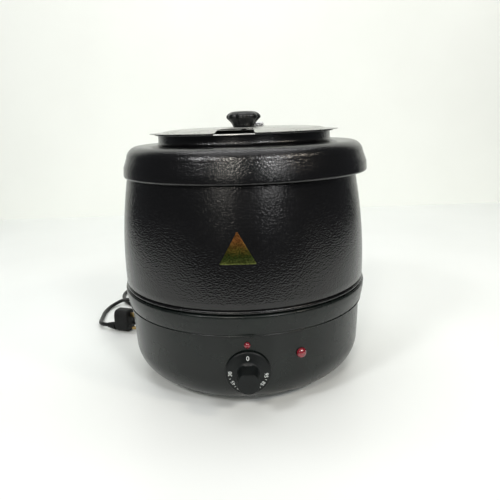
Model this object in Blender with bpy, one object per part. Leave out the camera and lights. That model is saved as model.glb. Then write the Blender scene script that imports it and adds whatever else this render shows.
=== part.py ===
# Soup kettle with a lift-out pot, a water tub heated from below and a hinged lid.
# Units are metres, +Z is up, and the dial faces -Y. Every place below is measured from the
# kettle's upright axis; one parent empty then moves the whole kettle along Y, so that the
# origin is under the middle of its outline, on the surface that it stands on.
import math

import bmesh
import bpy
from mathutils import Matrix, Vector

# ---- driving dimensions -------------------------------------------------------------
AXIS_SHIFT_Y = 0.0107        # the dial's grip reaches further out in front than the belly behind
GAP = 0.0003                 # clearance between pieces that touch
SHEET = 0.0012               # painted steel sheet
THIN_SHEET = 0.0009          # stainless steel sheet
SEGMENTS = 40                # facets round the large turned pieces
INNER_SEGMENTS = 32          # facets round the turned pieces that are inside

BELLY_RADIUS = 0.1741        # widest point of the barrel
BELLY_HEIGHT = 0.1600
SIDE_CURVE_RADIUS = 0.660    # how gently the barrel's side curves
BARREL_TOP = 0.3000
BARREL_BOTTOM = 0.1366
BEAD_RADIUS = 0.0023

NECK_RADIUS = 0.1205
TOP_SHIFT_X = 0.0060         # ring, tub, pot and lid all sit a little to the right
NECK_TOP = 0.3448
RING_TOP = 0.3313
RING_RADIUS = 0.1714
RING_BOTTOM = 0.2905
RING_SHOULDER = 0.1660       # radius where the rounded upper edge ends and the side begins
RING_CORNER = 0.0170         # rounding of the ring's upper edge
LIP_CORNER = 0.0026          # rounding of its lower edge

BAND_TOP = BARREL_BOTTOM - 2 * GAP
BAND_BOTTOM = 0.1078
BOWL_SIDE_RADIUS = 0.1695
BOWL_CORNER = 0.0440         # rounding between the bowl's side and its bottom
BOWL_CORNER_HEIGHT = 0.0510
BOWL_BOTTOM = 0.0093
PANEL_Y = -0.1665            # the bowl is pressed flat here, behind the dial

PLATE_RADIUS = 0.1345
PLATE_TOP = BOWL_BOTTOM - GAP
PLATE_BOTTOM = PLATE_TOP - SHEET
FOOT_CIRCLE = 0.1240         # radius on which the feet and their screws stand
FOOT_RADIUS = 0.0110
FOOT_ANGLES = {"foot_left": math.radians(221), "foot_right": math.radians(330),
               "foot_rear": math.radians(95.5)}   # from +X
FOOT_HEIGHT = PLATE_BOTTOM - GAP

TUB_RADIUS = 0.1235
TUB_FLOOR = 0.0800
TUB_RIM = RING_TOP - SHEET - GAP
POT_RADIUS = 0.1160
POT_FLOOR = 0.1120
POT_RIM = NECK_TOP + GAP + THIN_SHEET
POT_RIM_RADIUS = 0.1250

LID_RADIUS = 0.1318
LID_TURN = math.radians(-6)  # the lid sits a little askew
LID_SEAT = POT_RIM + GAP     # underside of the lid's flat edge
LID_CROWN = 0.3520           # flat top of the lid
LID_SHEET = 0.0008
HINGE_Y = 0.0300             # hinge line, behind the knob
HINGE_X = 0.0060             # the hinge sits a little to one side
HINGE_WIDTH = 0.0400
KNUCKLE_RADIUS = 0.0027
HINGE_HEIGHT = LID_CROWN + GAP + KNUCKLE_RADIUS + 0.0004
KNOB_RADIUS = 0.0243
KNOB_HEIGHT = 0.0217
KNOB_FLUTES = 8

DIAL_HEIGHT = 0.0585
DIAL_RADIUS = 0.0288
GRIP_RADIUS = 0.0139
GRIP_END_Y = -0.1975
PILOT_ANGLE = math.radians(23.5)
PILOT_HEIGHT = 0.0769
INDEX_HEIGHT = 0.0949

LABEL_SIDE = 0.0448
LABEL_BASE = 0.1996
LABEL_ANGLE = math.radians(-2.4)

CORD_RADIUS = 0.0035
CORD_FLOOR = CORD_RADIUS + 0.0004   # height of the lead's middle where it lies
GLAND_ANGLE = math.radians(135)     # from +X: the lead leaves at the back, on the left
GLAND_HEIGHT = 0.0480
COIL_CENTRE = (-0.1000, 0.3150)
COIL_INNER = 0.0304
COIL_OUTER = 0.0453
COIL_BOTTOM = 0.0018
COIL_TOP = 0.0170
PLUG_CENTRE = (-0.2210, 0.1175)
PLUG_TURN = math.radians(-20)
PLUG_SIZE = (0.0280, 0.0270, 0.0400)
BOOT_HEIGHT = 0.0085
BOOT_LENGTH = 0.0170
BOOT_OFFSET = -0.0050         # the boot leaves the back of the plug near one edge


# ---- materials ----------------------------------------------------------------------
def material(name, colour, roughness, metallic=0.0):
    made = bpy.data.materials.new(name)
    made.use_nodes = True
    shader = made.node_tree.nodes["Principled BSDF"]
    shader.inputs["Base Color"].default_value = (*colour, 1.0)
    shader.inputs["Roughness"].default_value = roughness
    shader.inputs["Metallic"].default_value = metallic
    return made


def make_materials():
    return {
        "hammered_black": material("hammered_black", (0.012, 0.012, 0.013), 0.30),
        "smooth_black": material("smooth_black", (0.025, 0.028, 0.027), 0.28),
        "stainless": material("stainless", (0.62, 0.62, 0.60), 0.22, 1.0),
        "plated_steel": material("plated_steel", (0.55, 0.55, 0.53), 0.35, 1.0),
        "phenolic": material("phenolic", (0.015, 0.016, 0.016), 0.32),
        "dial_plastic": material("dial_plastic", (0.030, 0.033, 0.034), 0.45),
        "red_lens": material("red_lens", (0.55, 0.02, 0.03), 0.12),
        "rubber": material("rubber", (0.020, 0.020, 0.020), 0.75),
        "cord_jacket": material("cord_jacket", (0.022, 0.023, 0.022), 0.50),
        "brass": material("brass", (0.70, 0.52, 0.25), 0.28, 1.0),
        "foil": material("foil", (0.60, 0.42, 0.12), 0.25, 1.0),
        "white_nylon": material("white_nylon", (0.70, 0.69, 0.64), 0.50),
    }


# ---- building blocks ----------------------------------------------------------------
def arc(centre_r, centre_z, radius, start_deg, end_deg, steps):
    points = []
    for i in range(steps + 1):
        angle = math.radians(start_deg + (end_deg - start_deg) * i / steps)
        points.append((centre_r + radius * math.cos(angle), centre_z + radius * math.sin(angle)))
    return points


def sheet_loop(path, thickness):
    """Closed outline of a bent sheet. The sheet lies on the right of the path as it is walked."""
    points = [Vector(p) for p in path]
    offset = []
    for i, point in enumerate(points):
        before = (point - points[i - 1]).normalized() if i > 0 else None
        after = (points[i + 1] - point).normalized() if i < len(points) - 1 else None
        before = before or after
        after = after or before
        right_before = Vector((before.y, -before.x))
        right_after = Vector((after.y, -after.x))
        middle = (right_before + right_after).normalized()
        offset.append(point + middle * (thickness / max(0.35, middle.dot(right_after))))
        if abs(point.x) < 1e-9:
            offset[-1].x = 0.0
    return points + offset[::-1]


def add_object(name, bm, made_of, parent, location=(0, 0, 0), rotation=(0, 0, 0), smooth_deg=35):
    bmesh.ops.recalc_face_normals(bm, faces=bm.faces)
    mesh = bpy.data.meshes.new(name)
    bm.to_mesh(mesh)
    bm.free()
    mesh.shade_smooth()
    mesh.set_sharp_from_angle(angle=math.radians(smooth_deg))
    mesh.materials.append(made_of)
    made = bpy.data.objects.new(name, mesh)
    bpy.context.scene.collection.objects.link(made)
    made.parent = parent
    made.location = location
    made.rotation_euler = rotation
    return made


def add_empty(name, parent=None, location=(0, 0, 0), rotation=(0, 0, 0)):
    made = bpy.data.objects.new(name, None)
    bpy.context.scene.collection.objects.link(made)
    made.parent = parent
    made.location = location
    made.rotation_euler = rotation
    return made


def turned_mesh(outline, segments):
    """Spins a closed outline of (radius, height) points round Z. Points on the axis are merged."""
    bm = bmesh.new()
    verts = [bm.verts.new((r, 0.0, z)) for r, z in outline]
    count = len(verts)
    edges = []
    for i in range(count):
        a, b = verts[i], verts[(i + 1) % count]
        if a.co.x > 1e-9 or b.co.x > 1e-9:
            edges.append(bm.edges.new((a, b)))
    bmesh.ops.spin(bm, geom=edges, axis=(0, 0, 1), cent=(0, 0, 0), angle=2 * math.pi,
                   steps=segments, use_merge=True)
    bmesh.ops.remove_doubles(bm, verts=bm.verts, dist=1e-7)
    return bm


def box_mesh(size, centre=(0, 0, 0), bevel=0.0, bevel_steps=1):
    bm = bmesh.new()
    place = Matrix.Translation(centre) @ Matrix.Diagonal((*size, 1.0))
    bmesh.ops.create_cube(bm, size=1.0, matrix=place)
    if bevel:
        bmesh.ops.bevel(bm, geom=bm.edges[:], offset=bevel, segments=bevel_steps,
                        affect="EDGES", profile=0.5)
    return bm


def cylinder_mesh(radius, depth, matrix=Matrix(), segments=16, end_radius=None):
    bm = bmesh.new()
    bmesh.ops.create_cone(bm, cap_ends=True, segments=segments, radius1=radius,
                          radius2=radius if end_radius is None else end_radius,
                          depth=depth, matrix=matrix)
    return bm


def boolean(target, tool, operation):
    tool.hide_render = True
    tool.display_type = "WIRE"
    tool.hide_set(True)
    step = target.modifiers.new(operation.lower(), "BOOLEAN")
    step.operation = operation
    step.solver = "EXACT"
    step.object = tool


def cut_with(target, name, bm, parent, location=(0, 0, 0), rotation=(0, 0, 0)):
    tool = add_object(name, bm, target.data.materials[0], parent, location, rotation)
    boolean(target, tool, "DIFFERENCE")


def pointing(axis):
    """Turns a piece made along +Z so that it points along the given axis."""
    return Vector((0, 0, 1)).rotation_difference(Vector(axis)).to_euler()


# ---- shapes shared by several pieces -----------------------------------------------
def barrel_radius(height):
    return BELLY_RADIUS - (height - BELLY_HEIGHT) ** 2 / (2 * SIDE_CURVE_RADIUS)


def bowl_side(height):
    """Outer radius of the base bowl's side and of its rounded corner."""
    if height >= BOWL_CORNER_HEIGHT:
        rise = (height - BOWL_CORNER_HEIGHT) / (BAND_BOTTOM - BOWL_CORNER_HEIGHT)
        return BOWL_SIDE_RADIUS - 0.0017 * (1 - min(rise, 1.0)) ** 2
    centre = BOWL_SIDE_RADIUS - 0.0017 - BOWL_CORNER
    return centre + math.sqrt(BOWL_CORNER ** 2 - (BOWL_CORNER_HEIGHT - height) ** 2)


def round_body(angle, radius, height):
    return Vector((radius * math.cos(angle), radius * math.sin(angle), height))


# ---- shell --------------------------------------------------------------------------
def make_top_ring(parts, root):
    path = [(NECK_RADIUS, NECK_TOP), (NECK_RADIUS, RING_TOP + 0.0042),
            (NECK_RADIUS + 0.0028, RING_TOP + 0.0012), (NECK_RADIUS + 0.0110, RING_TOP)]
    path += arc(RING_SHOULDER - RING_CORNER, RING_TOP - RING_CORNER, RING_CORNER, 90, 6, 4)
    path += arc(RING_RADIUS - LIP_CORNER, RING_BOTTOM + LIP_CORNER, LIP_CORNER, 0, -90, 2)
    add_object("top_ring", turned_mesh(sheet_loop(path, SHEET), SEGMENTS),
               parts["hammered_black"], root)


def make_outer_shell(parts, root):
    top_radius = barrel_radius(BARREL_TOP)
    low = BARREL_BOTTOM + 3.0 * BEAD_RADIUS
    path = [(0.1400, BARREL_TOP), (top_radius, BARREL_TOP)]
    for i in range(1, 5):
        height = BARREL_TOP + (low - BARREL_TOP) * i / 4
        path.append((barrel_radius(height), height))
    bead_centre = BARREL_BOTTOM + 1.2 * BEAD_RADIUS
    path += [(0.1722, bead_centre + BEAD_RADIUS)]
    path += arc(0.1724, bead_centre, BEAD_RADIUS, 50, -50, 2)
    path += [(0.1720, BARREL_BOTTOM), (0.1580, BARREL_BOTTOM)]
    add_object("outer_shell", turned_mesh(sheet_loop(path, SHEET * 0.75), SEGMENTS),
               parts["hammered_black"], root)


def make_base_band(parts, root):
    depth = BAND_TOP - BAND_BOTTOM
    path = [(0.1580, BAND_TOP), (0.1754, BAND_TOP)]
    path += [(0.1762, BAND_TOP - 0.10 * depth), (0.1755, BAND_TOP - 0.42 * depth),
             (0.1735, BAND_TOP - 0.80 * depth), (0.1722, BAND_BOTTOM)]
    path += [(BOWL_SIDE_RADIUS + 2 * GAP, BAND_BOTTOM)]
    add_object("base_band", turned_mesh(sheet_loop(path, SHEET), SEGMENTS),
               parts["smooth_black"], root)


def make_base_bowl(parts, root):
    top = BAND_TOP - SHEET - 2 * GAP
    path = [(BOWL_SIDE_RADIUS, top), (BOWL_SIDE_RADIUS, BAND_BOTTOM)]
    path += [(bowl_side(0.085), 0.085), (bowl_side(0.068), 0.068)]
    centre = BOWL_SIDE_RADIUS - 0.0017 - BOWL_CORNER
    path += arc(centre, BOWL_CORNER_HEIGHT, BOWL_CORNER, 0, -68, 4)
    path += [(path[-1][0] - 0.0010, BOWL_BOTTOM), (0.1160, BOWL_BOTTOM)]
    bm = turned_mesh(sheet_loop(path, SHEET), SEGMENTS)
    for vert in bm.verts:                  # press the front flat, inner and outer face alike
        radius = math.hypot(vert.co.x, vert.co.y)
        outside = radius > bowl_side(vert.co.z) - 0.5 * SHEET if vert.co.z > 0.03 else False
        limit = PANEL_Y if outside else PANEL_Y + SHEET
        vert.co.y = max(vert.co.y, limit)
    bowl = add_object("base_bowl", bm, parts["smooth_black"], root)
    cut_with(bowl, "cut_spindle", cylinder_mesh(0.0045, 0.02), root,
             (0, PANEL_Y, DIAL_HEIGHT), pointing((0, 1, 0)))
    for side in (-1, 1):
        cut_with(bowl, f"cut_thermostat_screw_{side}", cylinder_mesh(0.0022, 0.02, segments=12),
                 root, (side * 0.014, PANEL_Y, DIAL_HEIGHT), pointing((0, 1, 0)))
    cut_with(bowl, "cut_index", cylinder_mesh(0.0030, 0.02, segments=12), root,
             (0, PANEL_Y, INDEX_HEIGHT), pointing((0, 1, 0)))
    outward = Vector((math.sin(PILOT_ANGLE), -math.cos(PILOT_ANGLE), 0))
    spot = outward * bowl_side(PILOT_HEIGHT)
    cut_with(bowl, "cut_pilot", cylinder_mesh(0.0050, 0.02), root,
             (spot.x, spot.y, PILOT_HEIGHT), pointing(outward))
    outward = Vector((math.cos(GLAND_ANGLE), math.sin(GLAND_ANGLE), 0))
    spot = outward * bowl_side(GLAND_HEIGHT)
    cut_with(bowl, "cut_gland", cylinder_mesh(0.0068, 0.02), root,
             (spot.x, spot.y, GLAND_HEIGHT), pointing(outward))
    for name, angle in FOOT_ANGLES.items():
        place = round_body(angle, FOOT_CIRCLE, BOWL_BOTTOM)
        cut_with(bowl, f"cut_bowl_{name}", cylinder_mesh(0.0024, 0.01, segments=12), root, place)


def make_bottom_plate(parts, root):
    outline = [(0, PLATE_TOP), (PLATE_RADIUS, PLATE_TOP), (PLATE_RADIUS, PLATE_BOTTOM),
               (0, PLATE_BOTTOM)]
    plate = add_object("bottom_plate", turned_mesh(outline, SEGMENTS),
                       parts["plated_steel"], root)
    for name, angle in FOOT_ANGLES.items():
        place = round_body(angle, FOOT_CIRCLE, PLATE_BOTTOM)
        cut_with(plate, f"cut_plate_{name}", cylinder_mesh(0.0024, 0.01, segments=12),
                 root, place)
    for i in range(6):
        place = round_body(math.radians(60 * i), 0.060, PLATE_BOTTOM)
        cut_with(plate, f"cut_vent_{i}", cylinder_mesh(0.0050, 0.01, segments=12), root, place)


def make_feet(parts, root):
    foot = [(0.0026, FOOT_HEIGHT), (FOOT_RADIUS, FOOT_HEIGHT), (FOOT_RADIUS - 0.0012, 0.0),
            (0.0046, 0.0), (0.0046, 0.0036), (0.0026, 0.0036)]
    head = 0.0036 - GAP
    screw = [(0, 0.0150), (0.0020, 0.0150), (0.0020, head), (0.0036, head),
             (0.0036, head - 0.0020), (0, head - 0.0020)]
    for name, angle in FOOT_ANGLES.items():
        place = round_body(angle, FOOT_CIRCLE, 0)
        add_object(name, turned_mesh(foot, 16), parts["rubber"], root, place)
        add_object(name.replace("foot", "foot_screw"), turned_mesh(screw, 12),
                   parts["plated_steel"], root, place)


# ---- vessels ------------------------------------------------------------------------
def make_water_tub(parts, root):
    skirt = 0.1450
    path = [(0, TUB_FLOOR), (TUB_RADIUS - 0.008, TUB_FLOOR)]
    path += arc(TUB_RADIUS - 0.008, TUB_FLOOR + 0.008, 0.008, -60, 0, 2)
    path += [(TUB_RADIUS, TUB_RIM), (skirt, TUB_RIM), (skirt, BARREL_TOP + GAP)]
    add_object("water_tub", turned_mesh(sheet_loop(path, THIN_SHEET), INNER_SEGMENTS),
               parts["stainless"], root)


def make_soup_pot(parts, pot):
    path = [(0, POT_FLOOR), (POT_RADIUS - 0.012, POT_FLOOR)]
    path += arc(POT_RADIUS - 0.012, POT_FLOOR + 0.012, 0.012, -60, 0, 2)
    path += [(POT_RADIUS, POT_RIM), (POT_RIM_RADIUS, POT_RIM),
             (POT_RIM_RADIUS, POT_RIM - 0.0025)]
    add_object("soup_pot", turned_mesh(sheet_loop(path, THIN_SHEET), SEGMENTS),
               parts["stainless"], pot)


# ---- heating under the tub ----------------------------------------------------------
def make_heater(parts, root):
    under_tub = TUB_FLOOR - THIN_SHEET - GAP
    tube = 0.0040
    ring = arc(0.0800, under_tub - tube, tube, 0, 315, 7)
    add_object("heating_element", turned_mesh(ring, 32), parts["plated_steel"], root)
    clamp_top = under_tub - 2 * tube - GAP
    clamp = add_object("element_clamp", box_mesh((0.180, 0.024, 0.0015),
                       (0, 0, clamp_top - 0.00075)), parts["plated_steel"], root)
    cut_with(clamp, "cut_clamp", cylinder_mesh(0.0045, 0.01), root, (0, 0, clamp_top))
    add_object("clamp_stud", cylinder_mesh(0.0040, 0.022), parts["plated_steel"], root,
               (0, 0, under_tub - 0.011))
    nut_outline = [(0.0050, 0.0), (0.0080, 0.0), (0.0080, 0.0065), (0.0050, 0.0065)]
    add_object("clamp_nut", turned_mesh(nut_outline, 6), parts["plated_steel"], root,
               (0, 0, clamp_top - 0.0015 - GAP - 0.0065), smooth_deg=20)
    add_object("thermal_cutout", cylinder_mesh(0.0085, 0.0060), parts["white_nylon"], root,
               (0.045, 0.030, under_tub - 0.0030))


def make_thermostat(parts, root, dial):
    bracket_y = -0.1600
    bracket = add_object("thermostat_bracket", box_mesh((0.040, 0.0012, 0.030)),
                         parts["plated_steel"], root, (0, bracket_y + 0.0006, DIAL_HEIGHT))
    cut_with(bracket, "cut_bracket_spindle", cylinder_mesh(0.0045, 0.01), root,
             (0, bracket_y, DIAL_HEIGHT), pointing((0, 1, 0)))
    sides = {"left": -1, "right": 1}
    for side, sign in sides.items():
        cut_with(bracket, f"cut_bracket_screw_{side}", cylinder_mesh(0.0020, 0.01, segments=12),
                 root, (sign * 0.014, bracket_y, DIAL_HEIGHT), pointing((0, 1, 0)))
        screw = [(0, 0.0018), (0.0032, 0.0018), (0.0034, 0), (0.0017, 0), (0.0017, -0.0056),
                 (0, -0.0056)]
        add_object(f"thermostat_screw_{side}", turned_mesh(screw, 12), parts["plated_steel"],
                   root, (sign * 0.014, PANEL_Y - GAP, DIAL_HEIGHT), pointing((0, -1, 0)))
    front = bracket_y + 0.0012 + GAP
    add_object("thermostat_body", box_mesh((0.036, 0.032, 0.028), bevel=0.0015),
               parts["white_nylon"], root, (0, front + 0.0162, DIAL_HEIGHT))
    spindle_end = -0.1850
    length = front - GAP - spindle_end
    add_object("thermostat_spindle", cylinder_mesh(0.0030, length), parts["plated_steel"], dial,
               (0, spindle_end + length / 2 - PANEL_Y, 0), pointing((0, 1, 0)))
    bulb_height = TUB_FLOOR - THIN_SHEET - GAP - 0.0032
    add_object("capillary_bulb", cylinder_mesh(0.0030, 0.070, segments=12), parts["brass"],
               root, (-0.045, 0.004, bulb_height), pointing((0, 1, 0)))
    start = Vector((-0.0150, front + 0.0328, DIAL_HEIGHT))
    end = Vector((-0.045, -0.0315, bulb_height))
    route = [start, start + Vector((-0.004, 0.016, -0.004)), Vector((-0.034, -0.085, 0.052)),
             Vector((-0.048, -0.060, 0.060)), end + Vector((0, -0.012, -0.0015)), end]
    add_tube("capillary_tube", smooth_route(route, 4), 0.0010, parts["brass"], root, 1)


# ---- lead, as round tubes along smooth routes ----------------------------------------
def smooth_route(points, steps):
    """Points along a smooth curve that passes through the route's own points."""
    pts = [Vector(p) for p in points]
    pts = [2 * pts[0] - pts[1]] + pts + [2 * pts[-1] - pts[-2]]
    route = []
    for i in range(1, len(pts) - 2):
        a, b, c, d = pts[i - 1:i + 3]
        for j in range(steps):
            t = j / steps
            route.append(0.5 * ((2 * b) + (c - a) * t + (2 * a - 5 * b + 4 * c - d) * t * t
                                + (3 * b - a - 3 * c + d) * t ** 3))
    route.append(pts[-2])
    return route


def add_tube(name, route, radius, made_of, parent, resolution):
    curve = bpy.data.curves.new(name, "CURVE")
    curve.dimensions = "3D"
    curve.bevel_depth = radius
    curve.bevel_resolution = resolution
    curve.use_fill_caps = True
    spline = curve.splines.new("POLY")
    spline.points.add(len(route) - 1)
    for point, place in zip(spline.points, route):
        point.co = (*place, 1.0)
    curve.materials.append(made_of)
    made = bpy.data.objects.new(name, curve)
    bpy.context.scene.collection.objects.link(made)
    made.parent = parent
    return made


def gland_outward():
    return Vector((math.cos(GLAND_ANGLE), math.sin(GLAND_ANGLE), 0))


def make_gland(parts, root):
    bowl = bowl_side(GLAND_HEIGHT)
    gland = [(0, 0.0280), (0.0046, 0.0280), (0.0062, 0.0030), (0.0090, 0.0025),
             (0.0090, 0.0), (0.0063, 0.0), (0.0063, -0.0050), (0, -0.0050)]
    place = gland_outward() * (bowl + 2 * GAP)
    add_object("strain_relief", turned_mesh(gland, 16), parts["rubber"], root,
               (place.x, place.y, GLAND_HEIGHT), pointing(gland_outward()))
    block = gland_outward() * (bowl - 0.0400)
    add_object("terminal_block", box_mesh((0.016, 0.034, 0.014), bevel=0.001),
               parts["white_nylon"], root, (block.x, block.y, GLAND_HEIGHT),
               (0, 0, GLAND_ANGLE))


def plug_spot(along, across, height):
    turn = Matrix.Rotation(PLUG_TURN, 3, "Z")
    spot = turn @ Vector((along, across, 0))
    return Vector((PLUG_CENTRE[0] + spot.x, PLUG_CENTRE[1] + spot.y, height))


def make_lead(parts, root):
    floor = CORD_FLOOR
    hump = floor + 2 * CORD_RADIUS + 2 * GAP
    exit_point = gland_outward() * (bowl_side(GLAND_HEIGHT) + 0.0280 + 3 * GAP)
    start = Vector((exit_point.x, exit_point.y, GLAND_HEIGHT))
    to_coil = [start, start + gland_outward() * 0.004, start + gland_outward() * 0.012,
               (-0.1690, 0.1700, 0.0350), (-0.1830, 0.1850, 0.0150), (-0.2000, 0.2010, 0.0048),
               (-0.2200, 0.2200, floor), (-0.2385, 0.2410, floor), (-0.2535, 0.2660, floor),
               (-0.2620, 0.2930, floor), (-0.2610, 0.3210, floor), (-0.2460, 0.3440, floor),
               (-0.2190, 0.3560, floor), (-0.1850, 0.3580, COIL_BOTTOM + CORD_RADIUS),
               (-0.1250, 0.3565, COIL_BOTTOM + CORD_RADIUS)]
    add_tube("power_lead_inner", smooth_route(to_coil, 3), CORD_RADIUS, parts["cord_jacket"],
             root, 2)
    backward = plug_spot(-1, 0, 0) - plug_spot(0, 0, 0)
    boot_end = plug_spot(-PLUG_SIZE[0] / 2 - BOOT_LENGTH - 3 * GAP, BOOT_OFFSET, BOOT_HEIGHT)
    to_plug = [(-0.1250, 0.2735, 0.0128), (-0.1550, 0.2715, 0.0122), (-0.1850, 0.2650, 0.0118),
               (-0.2140, 0.2540, hump), (-0.2380, 0.2475, hump), (-0.2540, 0.2460, 0.0100),
               (-0.2650, 0.2385, 0.0070), (-0.2730, 0.2270, 0.0048), (-0.2770, 0.2120, floor),
               (-0.2780, 0.1950, floor), (-0.2765, 0.1780, floor), (-0.2745, 0.1600, 0.0044),
               (-0.2715, 0.1430, 0.0058), (-0.2640, 0.1305, 0.0076),
               boot_end + backward * 0.0030, boot_end]
    add_tube("power_lead_outer", smooth_route(to_plug, 3), CORD_RADIUS, parts["cord_jacket"],
             root, 2)
    ring = [(COIL_INNER, COIL_TOP), (COIL_OUTER, COIL_TOP), (COIL_OUTER, COIL_BOTTOM),
            (COIL_INNER, COIL_BOTTOM)]
    add_object("power_lead_coil", turned_mesh(ring, 32), parts["cord_jacket"], root,
               (*COIL_CENTRE, 0))
    make_lead_tie(parts, root)


def make_lead_tie(parts, root):
    width = COIL_OUTER - COIL_INNER + 2 * 0.0006
    height = COIL_TOP - COIL_BOTTOM + 2 * 0.0006
    band = 0.0008
    centre = Vector((COIL_CENTRE[0] + (COIL_INNER + COIL_OUTER) / 2, COIL_CENTRE[1],
                     (COIL_BOTTOM + COIL_TOP) / 2))
    tie = add_object("lead_tie", box_mesh((width + 2 * band, 0.0060, height + 2 * band)),
                     parts["rubber"], root, centre)
    cut_with(tie, "cut_tie", box_mesh((width, 0.02, height)), root, centre)


def make_plug(parts, root):
    length, width, height = PLUG_SIZE
    add_object("plug_body", box_mesh(PLUG_SIZE, bevel=0.0060, bevel_steps=2),
               parts["rubber"], root, plug_spot(0, 0, GAP + height / 2), (0, 0, PLUG_TURN))
    boot = [(0, BOOT_LENGTH), (0.0044, BOOT_LENGTH), (0.0076, 0.0), (0, 0.0)]
    backward = plug_spot(-1, 0, 0) - plug_spot(0, 0, 0)
    add_object("plug_boot", turned_mesh(boot, 16), parts["rubber"], root,
               plug_spot(-length / 2 - GAP, BOOT_OFFSET, BOOT_HEIGHT), pointing(backward))
    pins = {"plug_pin_live": (0.0100, 0.0110, 0.0062, 0.0040),
            "plug_pin_neutral": (-0.0100, 0.0110, 0.0062, 0.0040),
            "plug_pin_earth": (0.0, 0.0310, 0.0040, 0.0080)}
    pin_length = 0.0180
    for name, (across, up, wide, tall) in pins.items():
        add_object(name, box_mesh((pin_length, wide, tall), bevel=0.0006), parts["brass"], root,
                   plug_spot(length / 2 + GAP + pin_length / 2, across, up), (0, 0, PLUG_TURN))


# ---- lid ----------------------------------------------------------------------------
def lid_mesh():
    top = LID_SEAT + LID_SHEET
    path = [(0, LID_CROWN), (0.0850, LID_CROWN), (0.0950, LID_CROWN - 0.0008),
            (0.1080, top + 0.0030), (0.1150, top + 0.0008), (0.1200, top), (LID_RADIUS, top)]
    return turned_mesh(sheet_loop(path, LID_SHEET), SEGMENTS)


def rivet_spots():
    spots = {}
    for side, sign in (("left", -1), ("right", 1)):
        spots["front", side] = (HINGE_X + sign * 0.013, HINGE_Y - 0.0095)
        spots["rear", side] = (HINGE_X + sign * 0.013, HINGE_Y + 0.0095)
    return spots


def make_lid(parts, lid, flap):
    split = 0.0004
    big = 0.4
    rear = add_object("lid_rear", lid_mesh(), parts["stainless"], lid)
    cut_with(rear, "cut_lid_front_half", box_mesh((big, big, big)), lid,
             (0, HINGE_Y + split - big / 2, LID_CROWN))
    front = add_object("lid_flap", lid_mesh(), parts["stainless"], flap,
                       (0, -HINGE_Y, -HINGE_HEIGHT))
    cut_with(front, "cut_lid_rear_half", box_mesh((big, big, big)), flap,
             (0, -split + big / 2, LID_CROWN - HINGE_HEIGHT))
    cut_with(front, "cut_ladle_notch", notch_mesh(), flap, (0, -HINGE_Y, -HINGE_HEIGHT))
    cut_with(front, "cut_knob_screw", cylinder_mesh(0.0028, 0.02, segments=12), flap,
             (0, -HINGE_Y, LID_CROWN - HINGE_HEIGHT))
    for (half, side), (x, y) in rivet_spots().items():
        target = front if half == "front" else rear
        owner = flap if half == "front" else lid
        place = (x, y - HINGE_Y, LID_CROWN - HINGE_HEIGHT) if half == "front" else (x, y, LID_CROWN)
        cut_with(target, f"cut_lid_rivet_{half}_{side}",
                 cylinder_mesh(0.0017, 0.01, segments=12), owner, place)


def notch_mesh():
    """Ladle notch: a wedge that widens towards the lid's rim."""
    inner_y, outer_y = -0.0900, -0.1500
    inner_half, outer_half = 0.0200, 0.0300
    bm = bmesh.new()
    corners = [(-inner_half, inner_y), (inner_half, inner_y), (outer_half, outer_y),
               (-outer_half, outer_y)]
    base = bm.faces.new([bm.verts.new((x, y, LID_CROWN - 0.02)) for x, y in corners])
    raised = bmesh.ops.extrude_face_region(bm, geom=[base])["geom"]
    verts = [v for v in raised if isinstance(v, bmesh.types.BMVert)]
    bmesh.ops.translate(bm, verts=verts, vec=(0, 0, 0.04))
    return bm


def make_hinge(parts, lid, flap):
    leaf_depth = 0.0145
    leaf_thick = 0.0010
    leaf_top = LID_CROWN + GAP + leaf_thick
    centre_width = HINGE_WIDTH * 0.4
    outer_width = (HINGE_WIDTH - centre_width) / 2 - 2 * GAP
    for half, owner, sign in (("front", flap, -1), ("rear", lid, 1)):
        base = Vector((0, 0, 0)) if half == "front" else Vector((0, HINGE_Y, HINGE_HEIGHT))
        plate_y = sign * (leaf_depth + KNUCKLE_RADIUS * 0.5) / 2
        plate_size = (HINGE_WIDTH, leaf_depth - KNUCKLE_RADIUS * 0.5 - 0.0016, leaf_thick)
        plate_centre = (HINGE_X, plate_y + sign * 0.0008,
                        leaf_top - leaf_thick / 2 - HINGE_HEIGHT)
        leaf = add_object(f"hinge_leaf_{half}", box_mesh(plate_size, plate_centre),
                          parts["plated_steel"], owner, base)
        if half == "front":
            spans = [(HINGE_X, centre_width - 2 * GAP)]
        else:
            offset = (centre_width + outer_width) / 2 + GAP
            spans = [(HINGE_X - offset, outer_width), (HINGE_X + offset, outer_width)]
        for i, (x, width) in enumerate(spans):
            turn = Matrix.Translation((x, 0, 0)) @ Matrix.Rotation(math.pi / 2, 4, "Y")
            knuckle = add_object(f"join_knuckle_{half}_{i}",
                                 cylinder_mesh(KNUCKLE_RADIUS, width, turn),
                                 parts["plated_steel"], owner, base)
            boolean(leaf, knuckle, "UNION")
            web = add_object(f"join_web_{half}_{i}",
                             box_mesh((width, 0.0052, leaf_thick * 0.9),
                                      (x, sign * 0.0036, plate_centre[2])),
                             parts["plated_steel"], owner, base)
            boolean(leaf, web, "UNION")
        turn = Matrix.Translation((HINGE_X, 0, 0)) @ Matrix.Rotation(math.pi / 2, 4, "Y")
        cut_with(leaf, f"cut_pin_{half}", cylinder_mesh(0.0015, 0.06, turn, 12), owner, base)
        for side in ("left", "right"):
            x, y = rivet_spots()[half, side]
            place = Vector((x, y - HINGE_Y, LID_CROWN - HINGE_HEIGHT)) + base
            cut_with(leaf, f"cut_leaf_rivet_{half}_{side}",
                     cylinder_mesh(0.0017, 0.01, segments=12), owner, place)
    turn = Matrix.Rotation(math.pi / 2, 4, "Y")
    add_object("hinge_pin", cylinder_mesh(0.0012, HINGE_WIDTH + 0.001, turn, 12),
               parts["plated_steel"], lid, (HINGE_X, HINGE_Y, HINGE_HEIGHT))


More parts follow.
